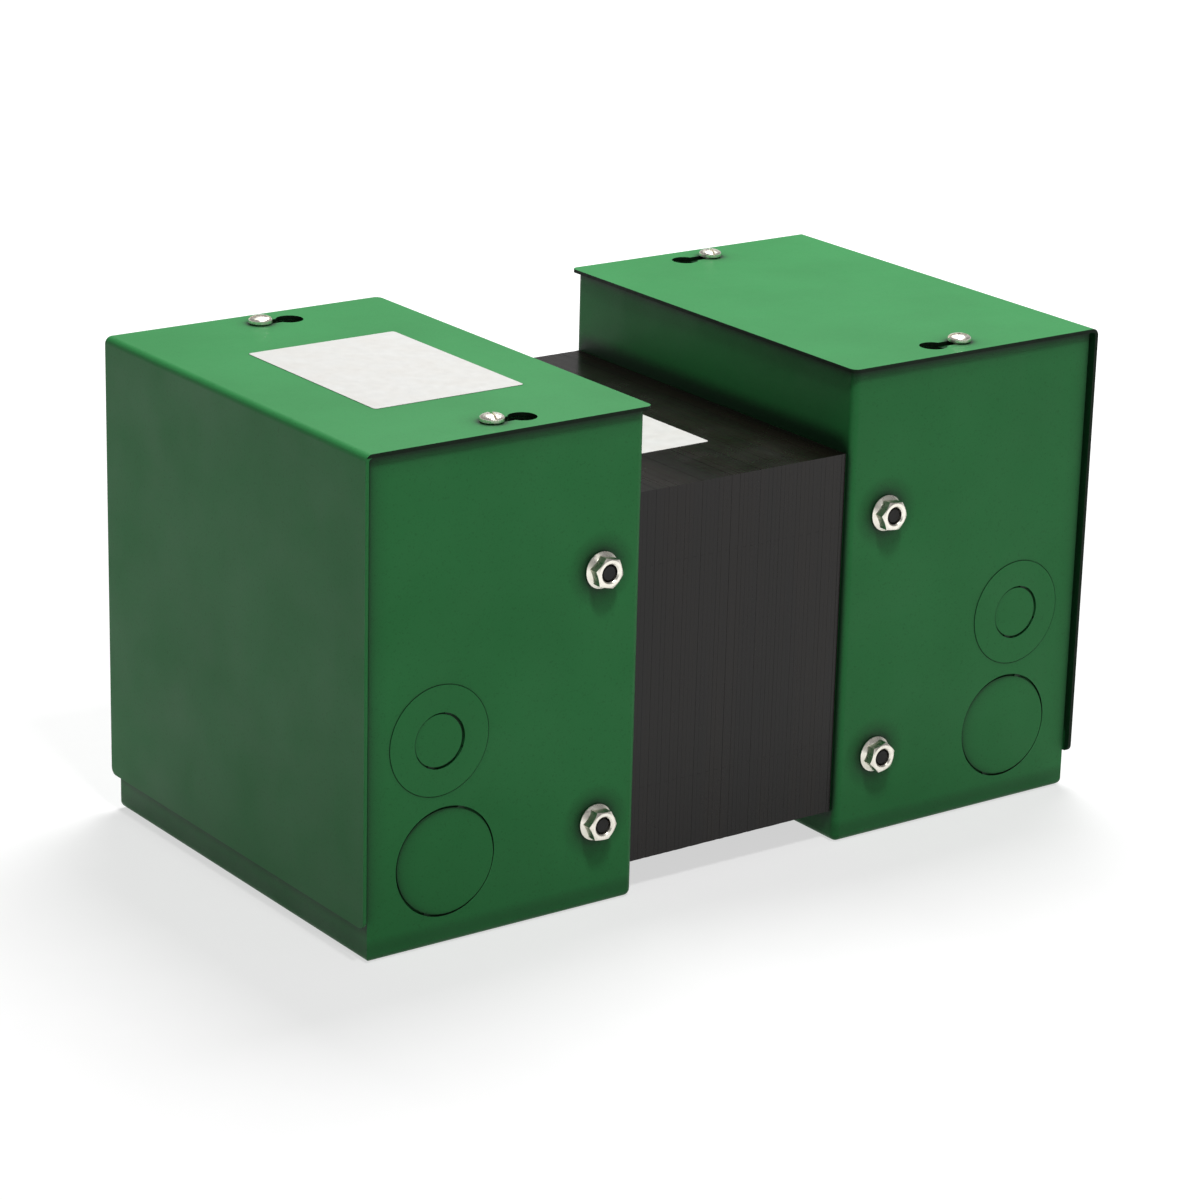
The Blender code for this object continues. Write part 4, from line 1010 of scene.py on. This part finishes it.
class TRANSFORMER_OT_end_frames(bpy.types.Operator):
    """Fold the two end frames and weld on their studs"""

    bl_idname = "transformer.end_frames"
    bl_label = "End Frames"

    def execute(self, context):
        sheet = context.scene.transformer_sheet
        fasteners = context.scene.transformer_fasteners
        low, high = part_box("right_end_frame")
        half = wall_face() - sheet.thickness - GAP
        tip = high.y
        folds = [("-x", "-y"), ("-x", "+y")]
        bm = block((low.x, -half, low.z), (high.x, half, high.z), folds, sheet.bend,
                   sheet.bend_steps)
        body = new_object("right_end_frame_steel", bm)
        inside = half - sheet.frame
        carve(body, block((low.x + sheet.frame, -inside, low.z - sheet.frame),
                          (2 * high.x, inside, high.z + sheet.frame), folds,
                          sheet.bend - sheet.frame, sheet.bend_steps))
        reach = sheet.frame
        bm = bmesh.new()
        open_wall(bm, low.x - reach, low.x + 2 * reach, sheet, fasteners)
        ground = middle("right_ground_screw")
        add_rod(bm, (low.x - reach, ground.y, ground.z), (low.x + 2 * reach, ground.y, ground.z),
                fasteners.ground_screw + GAP, sheet.round_sides)
        carve(body, bm)
        self.round_corners(body, low, high, half, sheet.frame_corner)
        soften(body, EDGE)
        for wall in WALLS.values():
            for row in ROWS:
                nut = middle(f"right_nut_front_{row}")
                self.weld_stud(body, (nut.x, wall * inside, nut.z), wall, tip - inside, fasteners,
                               sheet.frame)
        for side, piece in (("left", mirrored(body, "left_end_frame_steel")), ("right", body)):
            close(piece, SHEET_CREASE, "dipped_steel")
            stand_for(piece, f"{side}_end_frame", FIXED)
        return {"FINISHED"}

    def round_corners(self, body, low, high, half, radius):
        """Round the free corners of the flanges."""
        for z, start in ((low.z + radius, 270), (high.z - radius, 0)):
            centre = (high.x - radius, z)
            outline = arc(centre, radius, start, start + 90, 8)
            corner = (high.x + radius, z + math.copysign(2 * radius, z - middle("core_stack").z))
            along = (outline[0], outline[-1])
            beyond = [(along[1][0], corner[1]), corner, (corner[0], along[0][1])]
            if start == 270:
                beyond = [(corner[0], along[1][1]), corner, (along[0][0], corner[1])]
            bm = bmesh.new()
            add_plate(bm, outline + beyond, -2 * half, 2 * half)
            carve(body, moved(bm, Matrix.Rotation(math.pi / 2, 4, "X")))

    def weld_stud(self, body, foot, wall, reach, fasteners, sheet):
        """A stud with a weld bead at its foot, a rolled thread and a chamfered end."""
        radius = fasteners.stud
        chamfer = fasteners.thread * 1.6
        profile = [(0, reach), (radius - chamfer, reach), (radius - EDGE / 2, reach - chamfer)]
        profile += thread(radius, fasteners.thread, fasteners.pitch, reach - chamfer, sheet * 1.8)
        profile += [(radius - EDGE / 4, sheet * 1.6), (radius, -GAP), (0, -GAP)]
        carve(body, moved(turned(profile, fasteners.sides), aimed(foot, (0, wall, 0))), "UNION")


# ---------------------------------------------------------------- core and coil

class TRANSFORMER_OT_laminations(bpy.types.Operator):
    """Stack E and I laminations in packets, turned over one after another"""

    bl_idname = "transformer.laminations"
    bl_label = "Laminations"

    def execute(self, context):
        core = context.scene.transformer_core
        low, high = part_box("core_stack")
        centre = (low + high) / 2
        count = round((high.x - low.x) / core.packet)
        depth = (high.x - low.x) / count
        dice = random.Random(7)
        bm = bmesh.new()
        for packet in range(count):
            x = low.x + packet * depth
            back = 0.0 if packet in (0, count - 1) else dice.uniform(0, core.unevenness)
            self.add_packet(bm, context.scene, centre, x, depth, back, 1 if packet % 2 else -1)
        stack = new_object("laminations", bm, "varnished_steel", 20)
        stand_for(stack, "core_stack", FIXED)
        return {"FINISHED"}

    def add_packet(self, bm, scene, centre, x, depth, back, flip):
        """One packet: the E's, and the I's that close them, with their bolt holes."""
        core = scene.transformer_core
        half_width, half_height, leg = 1.5 * core.tongue, 1.25 * core.tongue, core.tongue / 2
        columns = (-half_width + back, -2 * leg, -leg, leg, 2 * leg, half_width - back)
        window = 1.5 * leg
        hole = scene.transformer_fasteners.bolt + scene.transformer_sheet.clearance
        joint = core.joint / 2
        bars = (
            (((-half_height + back, -window), (-window, window - joint)), True),
            (((window + joint, half_height - back),), False),
        )
        for rows, has_legs in bars:
            corners = {}
            faces = []
            for row, (bottom, top) in enumerate(rows):
                for column, (left, right) in enumerate(zip(columns, columns[1:])):
                    if has_legs and row == 1 and column in (1, 3):
                        continue
                    cell = [(left, bottom), (right, bottom), (right, top), (left, top)]
                    with_hole = column in (0, 4) and not (has_legs and row == 1)
                    faces += self.add_cell(bm, corners, cell, centre, x + joint, hole, flip,
                                           with_hole, half_width, half_height)
            thicken(bm, faces, (depth - 2 * joint, 0, 0))
        bmesh.ops.recalc_face_normals(bm, faces=bm.faces)

    def add_cell(self, bm, corners, cell, centre, x, hole, flip, with_hole, half_width,
                 half_height):
        """One field of a lamination, plain or round a bolt hole."""
        def corner(y, z):
            key = (round(y, 6), round(z, 6))
            if key not in corners:
                corners[key] = bm.verts.new((x, centre.y + y, centre.z + flip * z))
            return corners[key]

        square = [corner(y, z) for y, z in cell]
        if not with_hole:
            return [bm.faces.new(square)]
        y = math.copysign(half_width - half_width / 6, cell[0][0] + cell[1][0])
        z = math.copysign(half_height - half_height / 5, cell[0][1] + cell[2][1])
        steps = 8
        ring = [corner(*point) for point in arc((y, z), hole, 225, 225 + 360, 4 * steps)[:-1]]
        faces = []
        for side in range(4):
            inner = [ring[(side * steps + i) % len(ring)] for i in range(steps + 1)]
            faces.append(bm.faces.new([square[side], square[(side + 1) % 4], *reversed(inner)]))
        return faces


def leg_loop(core, beyond, z, corner):
    """The round-cornered loop that lies one distance out from the middle leg."""
    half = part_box("core_stack")[1].x
    outline = rounded_outline(half + beyond, core.tongue / 2 + beyond, corner)
    return [(x, y, z) for x, y in outline]


def ring_round_leg(core, profile):
    """A ring round the middle leg from a closed profile of (distance out, height) points."""
    tube = core.leg_clearance + core.bobbin_wall
    bm = bmesh.new()
    loops = [leg_loop(core, beyond, z,
                      core.corner + max(0.0, beyond - tube) * core.corner_growth)
             for beyond, z in profile]
    add_loops(bm, loops, closed=True)
    return bm


class TRANSFORMER_OT_coil(bpy.types.Operator):
    """Mould the bobbin, wind the coil on it and wrap it in tape"""

    bl_idname = "transformer.coil"
    bl_label = "Coil"

    def execute(self, context):
        core = context.scene.transformer_core
        self.make_bobbin(core)
        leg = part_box("core_stack")[1].x
        inner = core.leg_clearance + core.bobbin_wall + GAP
        for node, shape, sizes in (
                ("primary_winding", self.turns, (core.primary_wire,)),
                ("winding_insulation", self.wraps, (core.paper_width, core.paper_lap)),
                ("secondary_winding", self.turns, (core.secondary_wire,)),
                ("coil_wrap", self.wraps, (core.tape_width, core.tape_lap))):
            low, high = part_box(node)
            outer = high.x - leg
            profile = [(inner, high.z), (inner, low.z), *shape(outer, low.z, high.z, *sizes)]
            layer = new_object(f"{node}_fine", ring_round_leg(core, profile), SLOTS[node],
                               ROUND_CREASE)
            stand_for(layer, node, FIXED)
            inner = outer + GAP
        return {"FINISHED"}

    def turns(self, outer, low, high, wire):
        """The ridges of wire laid turn beside turn, upward."""
        count = round((high - low) / wire)
        pitch = (high - low) / count
        points = []
        for number in range(count):
            z = low + (number + 0.5) * pitch
            for angle in (-80, -45, 0, 45, 80):
                a = math.radians(angle)
                points.append((outer - (1 - math.cos(a)) * pitch / 2, z + math.sin(a) * pitch / 2))
        return points

    def wraps(self, outer, low, high, width, lap):
        """The steps of sheet or tape whose turns lie over one another, upward."""
        count = round((high - low) / width)
        pitch = (high - low) / count
        points = []
        for number in range(count):
            z = low + number * pitch
            points += [(outer, z + 0.03 * pitch), (outer - lap * 0.4, z + 0.5 * pitch),
                       (outer - lap, z + pitch)]
        return [(outer - lap, low)] + points

    def make_bobbin(self, core):
        """A square tube with a flange at each end, and holes for the leads."""
        low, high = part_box("bobbin")
        rim = high.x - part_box("core_stack")[1].x
        tube = core.leg_clearance + core.bobbin_wall
        flange = core.bobbin_flange
        edge = flange / 5
        z0, z1 = low.z, high.z
        outside = [(rim - edge, z0), (rim, z0 + edge), (rim, z0 + flange - edge),
                   (rim - edge, z0 + flange), (tube, z0 + flange), (tube, z1 - flange),
                   (rim - edge, z1 - flange), (rim, z1 - flange + edge), (rim, z1 - edge),
                   (rim - edge, z1)]
        loops = [leg_loop(core, beyond, z, core.corner) for beyond, z in outside]
        inside = [leg_loop(core, core.leg_clearance, z, GAP) for z in (z1, z0)]
        bm = bmesh.new()
        add_loops(bm, loops + inside, closed=True)
        bobbin = new_object("bobbin_moulding", bm)
        holes = bmesh.new()
        for winding in ("primary", "secondary"):
            for pole in POLES:
                x, y = lead_foot(f"{winding}_lead_{pole}", core)
                add_rod(holes, (x, y, z1 - 2 * flange), (x, y, z1 + flange),
                        core.lead + core.lead_hole, 24)
        carve(bobbin, holes)
        close(bobbin, 35, "nylon")
        stand_for(bobbin, "bobbin", FIXED)


def lead_foot(node, core):
    """Where a lead leaves the coil."""
    low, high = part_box(node)
    return high.x - core.lead, (low.y + high.y) / 2


class TRANSFORMER_OT_leads(bpy.types.Operator):
    """Bring the coil's sleeved leads up to the terminals, with bare ends under the clamps"""

    bl_idname = "transformer.leads"
    bl_label = "Leads"

    def execute(self, context):
        core = context.scene.transformer_core
        for winding in ("primary", "secondary"):
            for pole in POLES:
                node = f"{winding}_lead_{pole}"
                lead = new_object(f"{node}_sleeved", self.tube(node, core), "sleeving",
                                  ROUND_CREASE)
                lead.data.materials.append(finishes["copper"])
                bare_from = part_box(node)[0].x + core.bare
                for face in lead.data.polygons:
                    face.material_index = int(face.center.x < bare_from - EDGE / 2)
                stand_for(lead, node, FIXED)
        return {"FINISHED"}

    def tube(self, node, core, sides=20):
        """Rings along the route: up from the coil, round a bend and along to the clamp."""
        low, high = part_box(node)
        x, y = lead_foot(node, core)
        top = high.z - core.lead
        bend = core.lead_bend
        bare_from = low.x + core.bare
        route = [((x, low.z), 0.0, core.lead), ((x, (low.z + top - bend) / 2), 0.0, core.lead)]
        for step, point in enumerate(arc((x - bend, top - bend), bend, 0, 90, 12)):
            route.append((point, math.radians(7.5 * step), core.lead))
        level = math.pi / 2
        route += [((x, top), level, radius) for x, radius in (
            (bare_from + 3 * EDGE, core.lead), (bare_from, core.lead),
            (bare_from - EDGE / 2, core.wire), (low.x + EDGE, core.wire),
            (low.x, core.wire - EDGE))]
        loops = []
        for (px, pz), tilt, radius in route:
            across = Vector((math.cos(tilt), 0.0, math.sin(tilt)))
            loops.append([Vector((px, y, pz)) + radius * (math.cos(a) * across
                          + math.sin(a) * Vector((0, 1, 0)))
                          for a in (math.tau * i / sides for i in range(sides))])
        bm = bmesh.new()
        add_loops(bm, loops, closed=False)
        return bm


class TRANSFORMER_OT_terminal_strips(bpy.types.Operator):
    """Mould the two terminal strips"""

    bl_idname = "transformer.terminal_strips"
    bl_label = "Terminal Strips"

    def execute(self, context):
        core = context.scene.transformer_core
        fasteners = context.scene.transformer_fasteners
        for side in SIDES:
            low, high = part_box(f"{side}_terminal_strip")
            strip = new_object(f"{side}_terminal_strip_moulding",
                               block(low, high, [("+z", "+x"), ("+z", "-x")], core.strip_round))
            floor = low.z + core.strip_base
            screws = [middle(f"{side}_terminal_screw_{pole}") for pole in POLES]
            half = (screws[1].y - screws[0].y - core.barrier) / 2
            for screw in screws:
                carve(strip, block((low.x - GAP, screw.y - half, floor),
                                   (high.x + GAP, screw.y + half, high.z + core.barrier),
                                   [("-z", "-y"), ("-z", "+y")], core.pocket_round, 4))
            soften(strip, EDGE)
            bm = bmesh.new()
            for screw in screws:
                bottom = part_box(f"{side}_terminal_screw_1")[0].z - GAP
                add_rod(bm, (screw.x, screw.y, bottom), (screw.x, screw.y, high.z),
                        fasteners.terminal_screw + GAP, 32)
            carve(strip, bm)
            close(strip, SHEET_CREASE, "phenolic")
            stand_for(strip, f"{side}_terminal_strip", FIXED)
        return {"FINISHED"}


# ---------------------------------------------------------------- fasteners

def hexagon(name, flats, height, both_ends, sides):
    """A hexagon on Z = 0 with its corners chamfered at the top, or at both ends."""
    corner = flats / math.sqrt(3)
    slope = math.tan(math.radians(30))
    flat = flats * 0.47
    reach = corner + EDGE
    drop = (reach - flat) * slope
    bm = bmesh.new()
    add_rod(bm, (0, 0, 0), (0, 0, height), corner, 6)
    envelope = [(0, height), (flat, height), (reach, height - drop)]
    if both_ends:
        envelope += [(reach, drop), (flat, 0), (0, 0)]
    else:
        envelope += [(reach, -PAST), (0, -PAST)]
    return carve(new_object(name, bm), turned(envelope, sides), "INTERSECT")


def bored(nut, radius, height, fasteners):
    """Cut a nut's countersunk, threaded bore."""
    sink = fasteners.thread * 1.5
    half = fasteners.thread / 2
    groove = [(0, height + PAST), (radius + sink + PAST, height + PAST), (radius, height - sink)]
    groove += thread(radius + half, half, fasteners.pitch, height - sink - EDGE / 2, sink)
    groove += [(radius, -PAST), (0, -PAST)]
    return carve(nut, turned(groove, fasteners.sides))


def slotted_screw(name, fasteners, head_radius, head_height, radius, shank):
    """A slotted pan-head screw with a rolled thread, the seat of its head on Z = 0."""
    side = 0.42 * head_height
    rise = head_height - side
    tip = min(radius / 2, shank / 5)
    profile = [(head_radius * math.sin(a), side + rise * math.cos(a))
               for a in (math.radians(9 * step) for step in range(11))]
    profile += [(head_radius, EDGE), (head_radius - EDGE, 0), (radius, 0)]
    profile += thread(radius, fasteners.thread, fasteners.pitch * 0.7, -GAP, tip - shank)
    profile += [(radius - fasteners.thread - tip / 2, -shank), (0, -shank)]
    screw = new_object(name, turned(profile, fasteners.sides))
    slot = block((-2 * head_radius, -fasteners.screw_slot / 2, head_height * 0.45),
                 (2 * head_radius, fasteners.screw_slot / 2, head_height * 2))
    return carve(screw, slot)


class TRANSFORMER_OT_flange_nuts(bpy.types.Operator):
    """Make the zinc-plated flange nuts on the studs"""

    bl_idname = "transformer.flange_nuts"
    bl_label = "Flange Nuts"

    def execute(self, context):
        fasteners = context.scene.transformer_fasteners
        low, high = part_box("right_nut_front_lower")
        height = high.y - low.y
        outer = (high.x - low.x) / 2
        nut = hexagon("flange_nut", fasteners.nut_flats, height, False, fasteners.sides)
        rim = fasteners.flange_height
        flats = fasteners.nut_flats
        flange = [(0, rim * 1.6), (flats * 0.46, rim * 1.6), (flats * 0.54, rim),
                  (outer - 1.5 * EDGE, rim * 0.45), (outer, rim * 0.3), (outer, EDGE / 2),
                  (outer - EDGE / 2, 0), (0, 0)]
        carve(nut, turned(flange, fasteners.sides), "UNION")
        bored(nut, fasteners.stud + GAP, height, fasteners)
        close(nut, TURNED_CREASE, "zinc")
        dice = random.Random(3)
        places = {}
        for side in SIDES:
            for wall, sign in WALLS.items():
                for row in ROWS:
                    node = f"{side}_nut_{wall}_{row}"
                    place = middle(node)
                    place.y -= sign * height / 2
                    places[node] = (place, (0, sign, 0), dice.uniform(0, math.tau))
        place_copies(nut, places)
        return {"FINISHED"}


class TRANSFORMER_OT_core_bolts(bpy.types.Operator):
    """Make the long bolts through the core, and their nuts"""

    bl_idname = "transformer.core_bolts"
    bl_label = "Core Bolts"

    def execute(self, context):
        fasteners = context.scene.transformer_fasteners
        low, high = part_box("core_bolt_1")
        head = fasteners.bolt_head
        shank = high.x - low.x - head
        radius = fasteners.bolt
        bolt = hexagon("core_bolt", fasteners.bolt_flats, head, False, fasteners.sides)
        chamfer = fasteners.thread * 1.6
        profile = [(0, head / 2), (radius, head / 2), (radius, fasteners.bolt_thread - shank)]
        profile += thread(radius, fasteners.thread, fasteners.pitch,
                          fasteners.bolt_thread - shank - EDGE, chamfer - shank)
        profile += [(radius - chamfer, -shank), (0, -shank)]
        carve(bolt, turned(profile, fasteners.sides), "UNION")
        close(bolt, TURNED_CREASE, "zinc")
        seat = low.x + head
        self.fit(bolt, "core_bolt", seat, -1, fasteners.next_slot)
        low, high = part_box("core_nut_1")
        height = high.x - low.x
        nut = hexagon("core_nut", fasteners.bolt_flats, height, True, fasteners.sides)
        bored(nut, radius + GAP, height, fasteners)
        close(nut, TURNED_CREASE, "zinc")
        self.fit(nut, "core_nut", low.x, 1, fasteners.first_slot)
        return {"FINISHED"}

    def fit(self, master, stem, seat, way, spin):
        """A copy at each corner of the core, each turned further than the last."""
        place_copies(master, {node: (middle(node, x=seat), (way, 0, 0), number * spin)
                              for number, node in ((n, f"{stem}_{n}") for n in BOLTS)})


class TRANSFORMER_OT_screws(bpy.types.Operator):
    """Make the cover screws and the ground screws"""

    bl_idname = "transformer.screws"
    bl_label = "Screws"

    def execute(self, context):
        fasteners = context.scene.transformer_fasteners
        low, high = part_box("right_cover_screw_front")
        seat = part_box("right_cover")[1].z + GAP
        screw = slotted_screw("cover_screw", fasteners, (high.x - low.x) / 2, high.z - seat,
                              fasteners.cover_screw, seat - low.z)
        close(screw, TURNED_CREASE, "zinc")
        places, bodies = {}, {}
        for side, sign in SIDES.items():
            for wall, out in WALLS.items():
                node = f"{side}_cover_screw_{wall}"
                places[node] = (middle(node, z=seat), UP,
                                fasteners.first_slot + sign * out * fasteners.next_slot)
                bodies[node] = f"{side}_cover_screws"
        place_copies(screw, places, bodies)
        low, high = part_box("right_ground_screw")
        seat = high.x - fasteners.ground_head
        screw = slotted_screw("ground_screw", fasteners, (high.y - low.y) / 2,
                              fasteners.ground_head, fasteners.ground_screw, seat - low.x)
        close(screw, TURNED_CREASE, "ground_green")
        places = {}
        for side, sign in SIDES.items():
            node = f"{side}_ground_screw"
            places[node] = (middle(node, x=sign * seat), (sign, 0, 0), fasteners.first_slot)
        place_copies(screw, places)
        return {"FINISHED"}


class TRANSFORMER_OT_terminal_screws(bpy.types.Operator):
    """Make the terminal screws with their clamp washers"""

    bl_idname = "transformer.terminal_screws"
    bl_label = "Terminal Screws"

    def execute(self, context):
        fasteners = context.scene.transformer_fasteners
        low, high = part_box("right_terminal_screw_1")
        washer, head = fasteners.terminal_washer, fasteners.terminal_head
        outer = (high.x - low.x) / 2
        top = washer + fasteners.terminal_rise
        length_below = high.z - low.z - top
        radius = fasteners.terminal_screw
        profile = [(0, top), (head * 0.62, top), (head * 0.86, top - 1.5 * EDGE),
                   (head, top - 4.5 * EDGE), (head, washer + EDGE / 2), (head - EDGE / 2, washer),
                   (outer - EDGE, washer), (outer, washer - EDGE), (outer, EDGE),
                   (outer - EDGE, 0), (radius, 0)]
        profile += thread(radius, fasteners.thread * 0.7, fasteners.pitch * 0.6, -GAP,
                          2 * EDGE - length_below)
        profile += [(radius - 3 * EDGE, -length_below), (0, -length_below)]
        screw = new_object("terminal_screw", turned(profile, fasteners.sides))
        slot = fasteners.terminal_slot / 2
        carve(screw, block((-2 * head, -slot, top - fasteners.terminal_rise / 2),
                           (2 * head, slot, 2 * top)))
        close(screw, TURNED_CREASE, "nickel_brass")
        places = {}
        for side in SIDES:
            for pole in POLES:
                node = f"{side}_terminal_screw_{pole}"
                spin = fasteners.first_slot + (pole - 1) * fasteners.next_slot
                places[node] = (middle(node, z=high.z - top), UP, spin)
        place_copies(screw, places)
        return {"FINISHED"}


# ---------------------------------------------------------------- labels

class TRANSFORMER_OT_labels(bpy.types.Operator):
    """Lay the bare stickers on the left cover and on the core"""

    bl_idname = "transformer.labels"
    bl_label = "Labels"

    def execute(self, context):
        labels = context.scene.transformer_labels
        stickers = (
            ("cover_label", labels.cover_size, labels.cover_place, "left_cover", "left_cover"),
            ("core_label", labels.core_size, labels.core_place, "core_stack", FIXED),
        )
        for name, size, place, under, body in stickers:
            outline = rounded_outline(size[0] / 2, size[1] / 2, labels.corner)
            bm = bmesh.new()
            add_plate(bm, outline, labels.thickness / 4, labels.thickness * 1.25)
            label = new_object(name, bm, "label_stock", 30)
            label.location = (*place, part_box(under)[1].z)
            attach(label, body)
        return {"FINISHED"}


# ---------------------------------------------------------------- finishes and stage

class TRANSFORMER_OT_finishes(bpy.types.Operator):
    """Mix the finishes and paint every node with its own"""

    bl_idname = "transformer.finishes"
    bl_label = "Finishes"

    def execute(self, context):
        finishes.update(make_finishes(context.scene.transformer_paint))
        for name, node in frame["nodes"].items():
            node.data.materials.clear()
            node.data.materials.append(finishes[SLOTS[name]])
        return {"FINISHED"}


def floor_material(stage):
    """A pale floor that fades to white away from the object and keeps its shadow."""
    finish = Finish("floor")
    where = finish.add("ShaderNodeTexCoord")
    away = finish.add("ShaderNodeVectorMath")
    away.operation = "LENGTH"
    finish.feed(away.inputs[0], where.outputs["Object"])
    lift = finish.spread(away.outputs["Value"], stage.floor_near, 1.0, stage.floor_start,
                         stage.floor_stop)
    path = finish.add("ShaderNodeLightPath")
    seen = finish.math("MAXIMUM", path.outputs["Is Camera Ray"], path.outputs["Is Glossy Ray"])
    glow = finish.add("ShaderNodeEmission", Color=WHITE,
                      Strength=finish.math("MULTIPLY", seen, lift))
    dust = finish.noise(0.02, detail=3.0)
    shade = finish.mix(finish.spread(dust, 0.0, 1.0), tuple(stage.floor_colour),
                       tuple(0.98 * c for c in stage.floor_colour))
    diffuse = finish.add("ShaderNodeBsdfDiffuse", Color=shade)
    both = finish.add("ShaderNodeAddShader")
    finish.feed(both.inputs[0], diffuse.outputs[0])
    finish.feed(both.inputs[1], glow.outputs[0])
    finish.feed(finish.tree.nodes["Material Output"].inputs["Surface"], both.outputs[0])
    return finish.material


def make_world(stage):
    """White to the camera, dimmer overhead in reflections, and a soft fill for all else."""
    studio = Finish("studio", bpy.data.worlds.new("studio"))
    way = studio.add("ShaderNodeTexCoord").outputs["Generated"]
    rise = studio.add("ShaderNodeSeparateXYZ", Vector=way).outputs["Z"]
    overhead = studio.spread(rise, 1.0, stage.overhead, 0.0, 0.25)
    facing = studio.add("ShaderNodeVectorMath")
    facing.operation = "DOT_PRODUCT"
    studio.feed(facing.inputs[0], way)
    studio.feed(facing.inputs[1], tuple(stage.fill_from))
    fill = studio.spread(facing.outputs["Value"], stage.fill_dim, stage.fill_bright, -1.0, 1.0)
    path = studio.add("ShaderNodeLightPath")
    shiny = studio.math("MAXIMUM", path.outputs["Is Glossy Ray"],
                        path.outputs["Is Transmission Ray"])
    strength = fill
    for ray, level in ((shiny, overhead), (path.outputs["Is Camera Ray"], 1.0)):
        blend = studio.add("ShaderNodeMix")
        for socket, value in ((0, ray), (2, strength), (3, level)):
            studio.feed(blend.inputs[socket], value)
        strength = blend.outputs[0]
    studio.feed(studio.shader.inputs["Color"], WHITE)
    studio.feed(studio.shader.inputs["Strength"], strength)
    return studio.material


class TRANSFORMER_OT_stage(bpy.types.Operator):
    """Set up the floor, the lights and the camera"""

    bl_idname = "transformer.stage"
    bl_label = "Stage"

    def execute(self, context):
        scene = context.scene
        stage = scene.transformer_stage
        scene.view_settings.view_transform = "Standard"
        scene.world = make_world(stage)
        finishes["floor"] = floor_material(stage)
        bm = bmesh.new()
        bmesh.ops.create_grid(bm, x_segments=1, y_segments=1, size=stage.floor_reach)
        floor = new_object("floor", bm, "floor")
        floor.location.z = CAD_BOUNDS[0][2]
        for name, place, size, power in (
                ("overhead", stage.key_place, stage.key_size, stage.key),
                ("front_light", stage.front_place, stage.front_size, stage.front)):
            light = bpy.data.lights.new(name, "AREA")
            light.size = size
            light.energy = power
            placed(name, light).matrix_world = aimed(place, Vector(place) - Vector(stage.target))
        camera_data = bpy.data.cameras.new("camera")
        camera_data.lens = stage.lens
        camera = placed("camera", camera_data)
        turned_to = (Matrix.Rotation(stage.azimuth, 4, "Z")
                     @ Matrix.Rotation(math.pi / 2 - stage.elevation, 4, "X")
                     @ Matrix.Rotation(stage.roll, 4, "Z"))
        back = turned_to @ Vector((0, 0, stage.distance))
        camera.matrix_world = Matrix.Translation(Vector(stage.target) + back) @ turned_to
        scene.camera = camera
        return {"FINISHED"}


# ---------------------------------------------------------------- panel and registration

OPERATORS = (
    TRANSFORMER_OT_finishes,
    TRANSFORMER_OT_trays,
    TRANSFORMER_OT_covers,
    TRANSFORMER_OT_end_frames,
    TRANSFORMER_OT_laminations,
    TRANSFORMER_OT_coil,
    TRANSFORMER_OT_leads,
    TRANSFORMER_OT_terminal_strips,
    TRANSFORMER_OT_terminal_screws,
    TRANSFORMER_OT_flange_nuts,
    TRANSFORMER_OT_core_bolts,
    TRANSFORMER_OT_screws,
    TRANSFORMER_OT_labels,
    TRANSFORMER_OT_stage,
)


class TRANSFORMER_PT_panel(bpy.types.Panel):
    """Makes the transformer's pieces one group at a time"""

    bl_label = "Transformer"
    bl_idname = "TRANSFORMER_PT_panel"
    bl_space_type = "VIEW_3D"
    bl_region_type = "UI"
    bl_category = "Transformer"

    def draw(self, context):
        for operator in OPERATORS:
            self.layout.operator(operator.bl_idname)


finishes = {}


def register():
    """Add the settings, the operators and the panel."""
    for name, group in SETTINGS.items():
        bpy.utils.register_class(group)
        setattr(bpy.types.Scene, name, PointerProperty(type=group))
    for operator in OPERATORS:
        bpy.utils.register_class(operator)
    bpy.utils.register_class(TRANSFORMER_PT_panel)


def unregister():
    """Take away what register added."""
    bpy.utils.unregister_class(TRANSFORMER_PT_panel)
    for operator in reversed(OPERATORS):
        bpy.utils.unregister_class(operator)
    for name, group in reversed(SETTINGS.items()):
        delattr(bpy.types.Scene, name)
        bpy.utils.unregister_class(group)


def main():
    """Make everything."""
    register()
    for operator in OPERATORS:
        getattr(bpy.ops.transformer, operator.bl_idname.split(".")[1])()


if __name__ == "__main__":
    main()
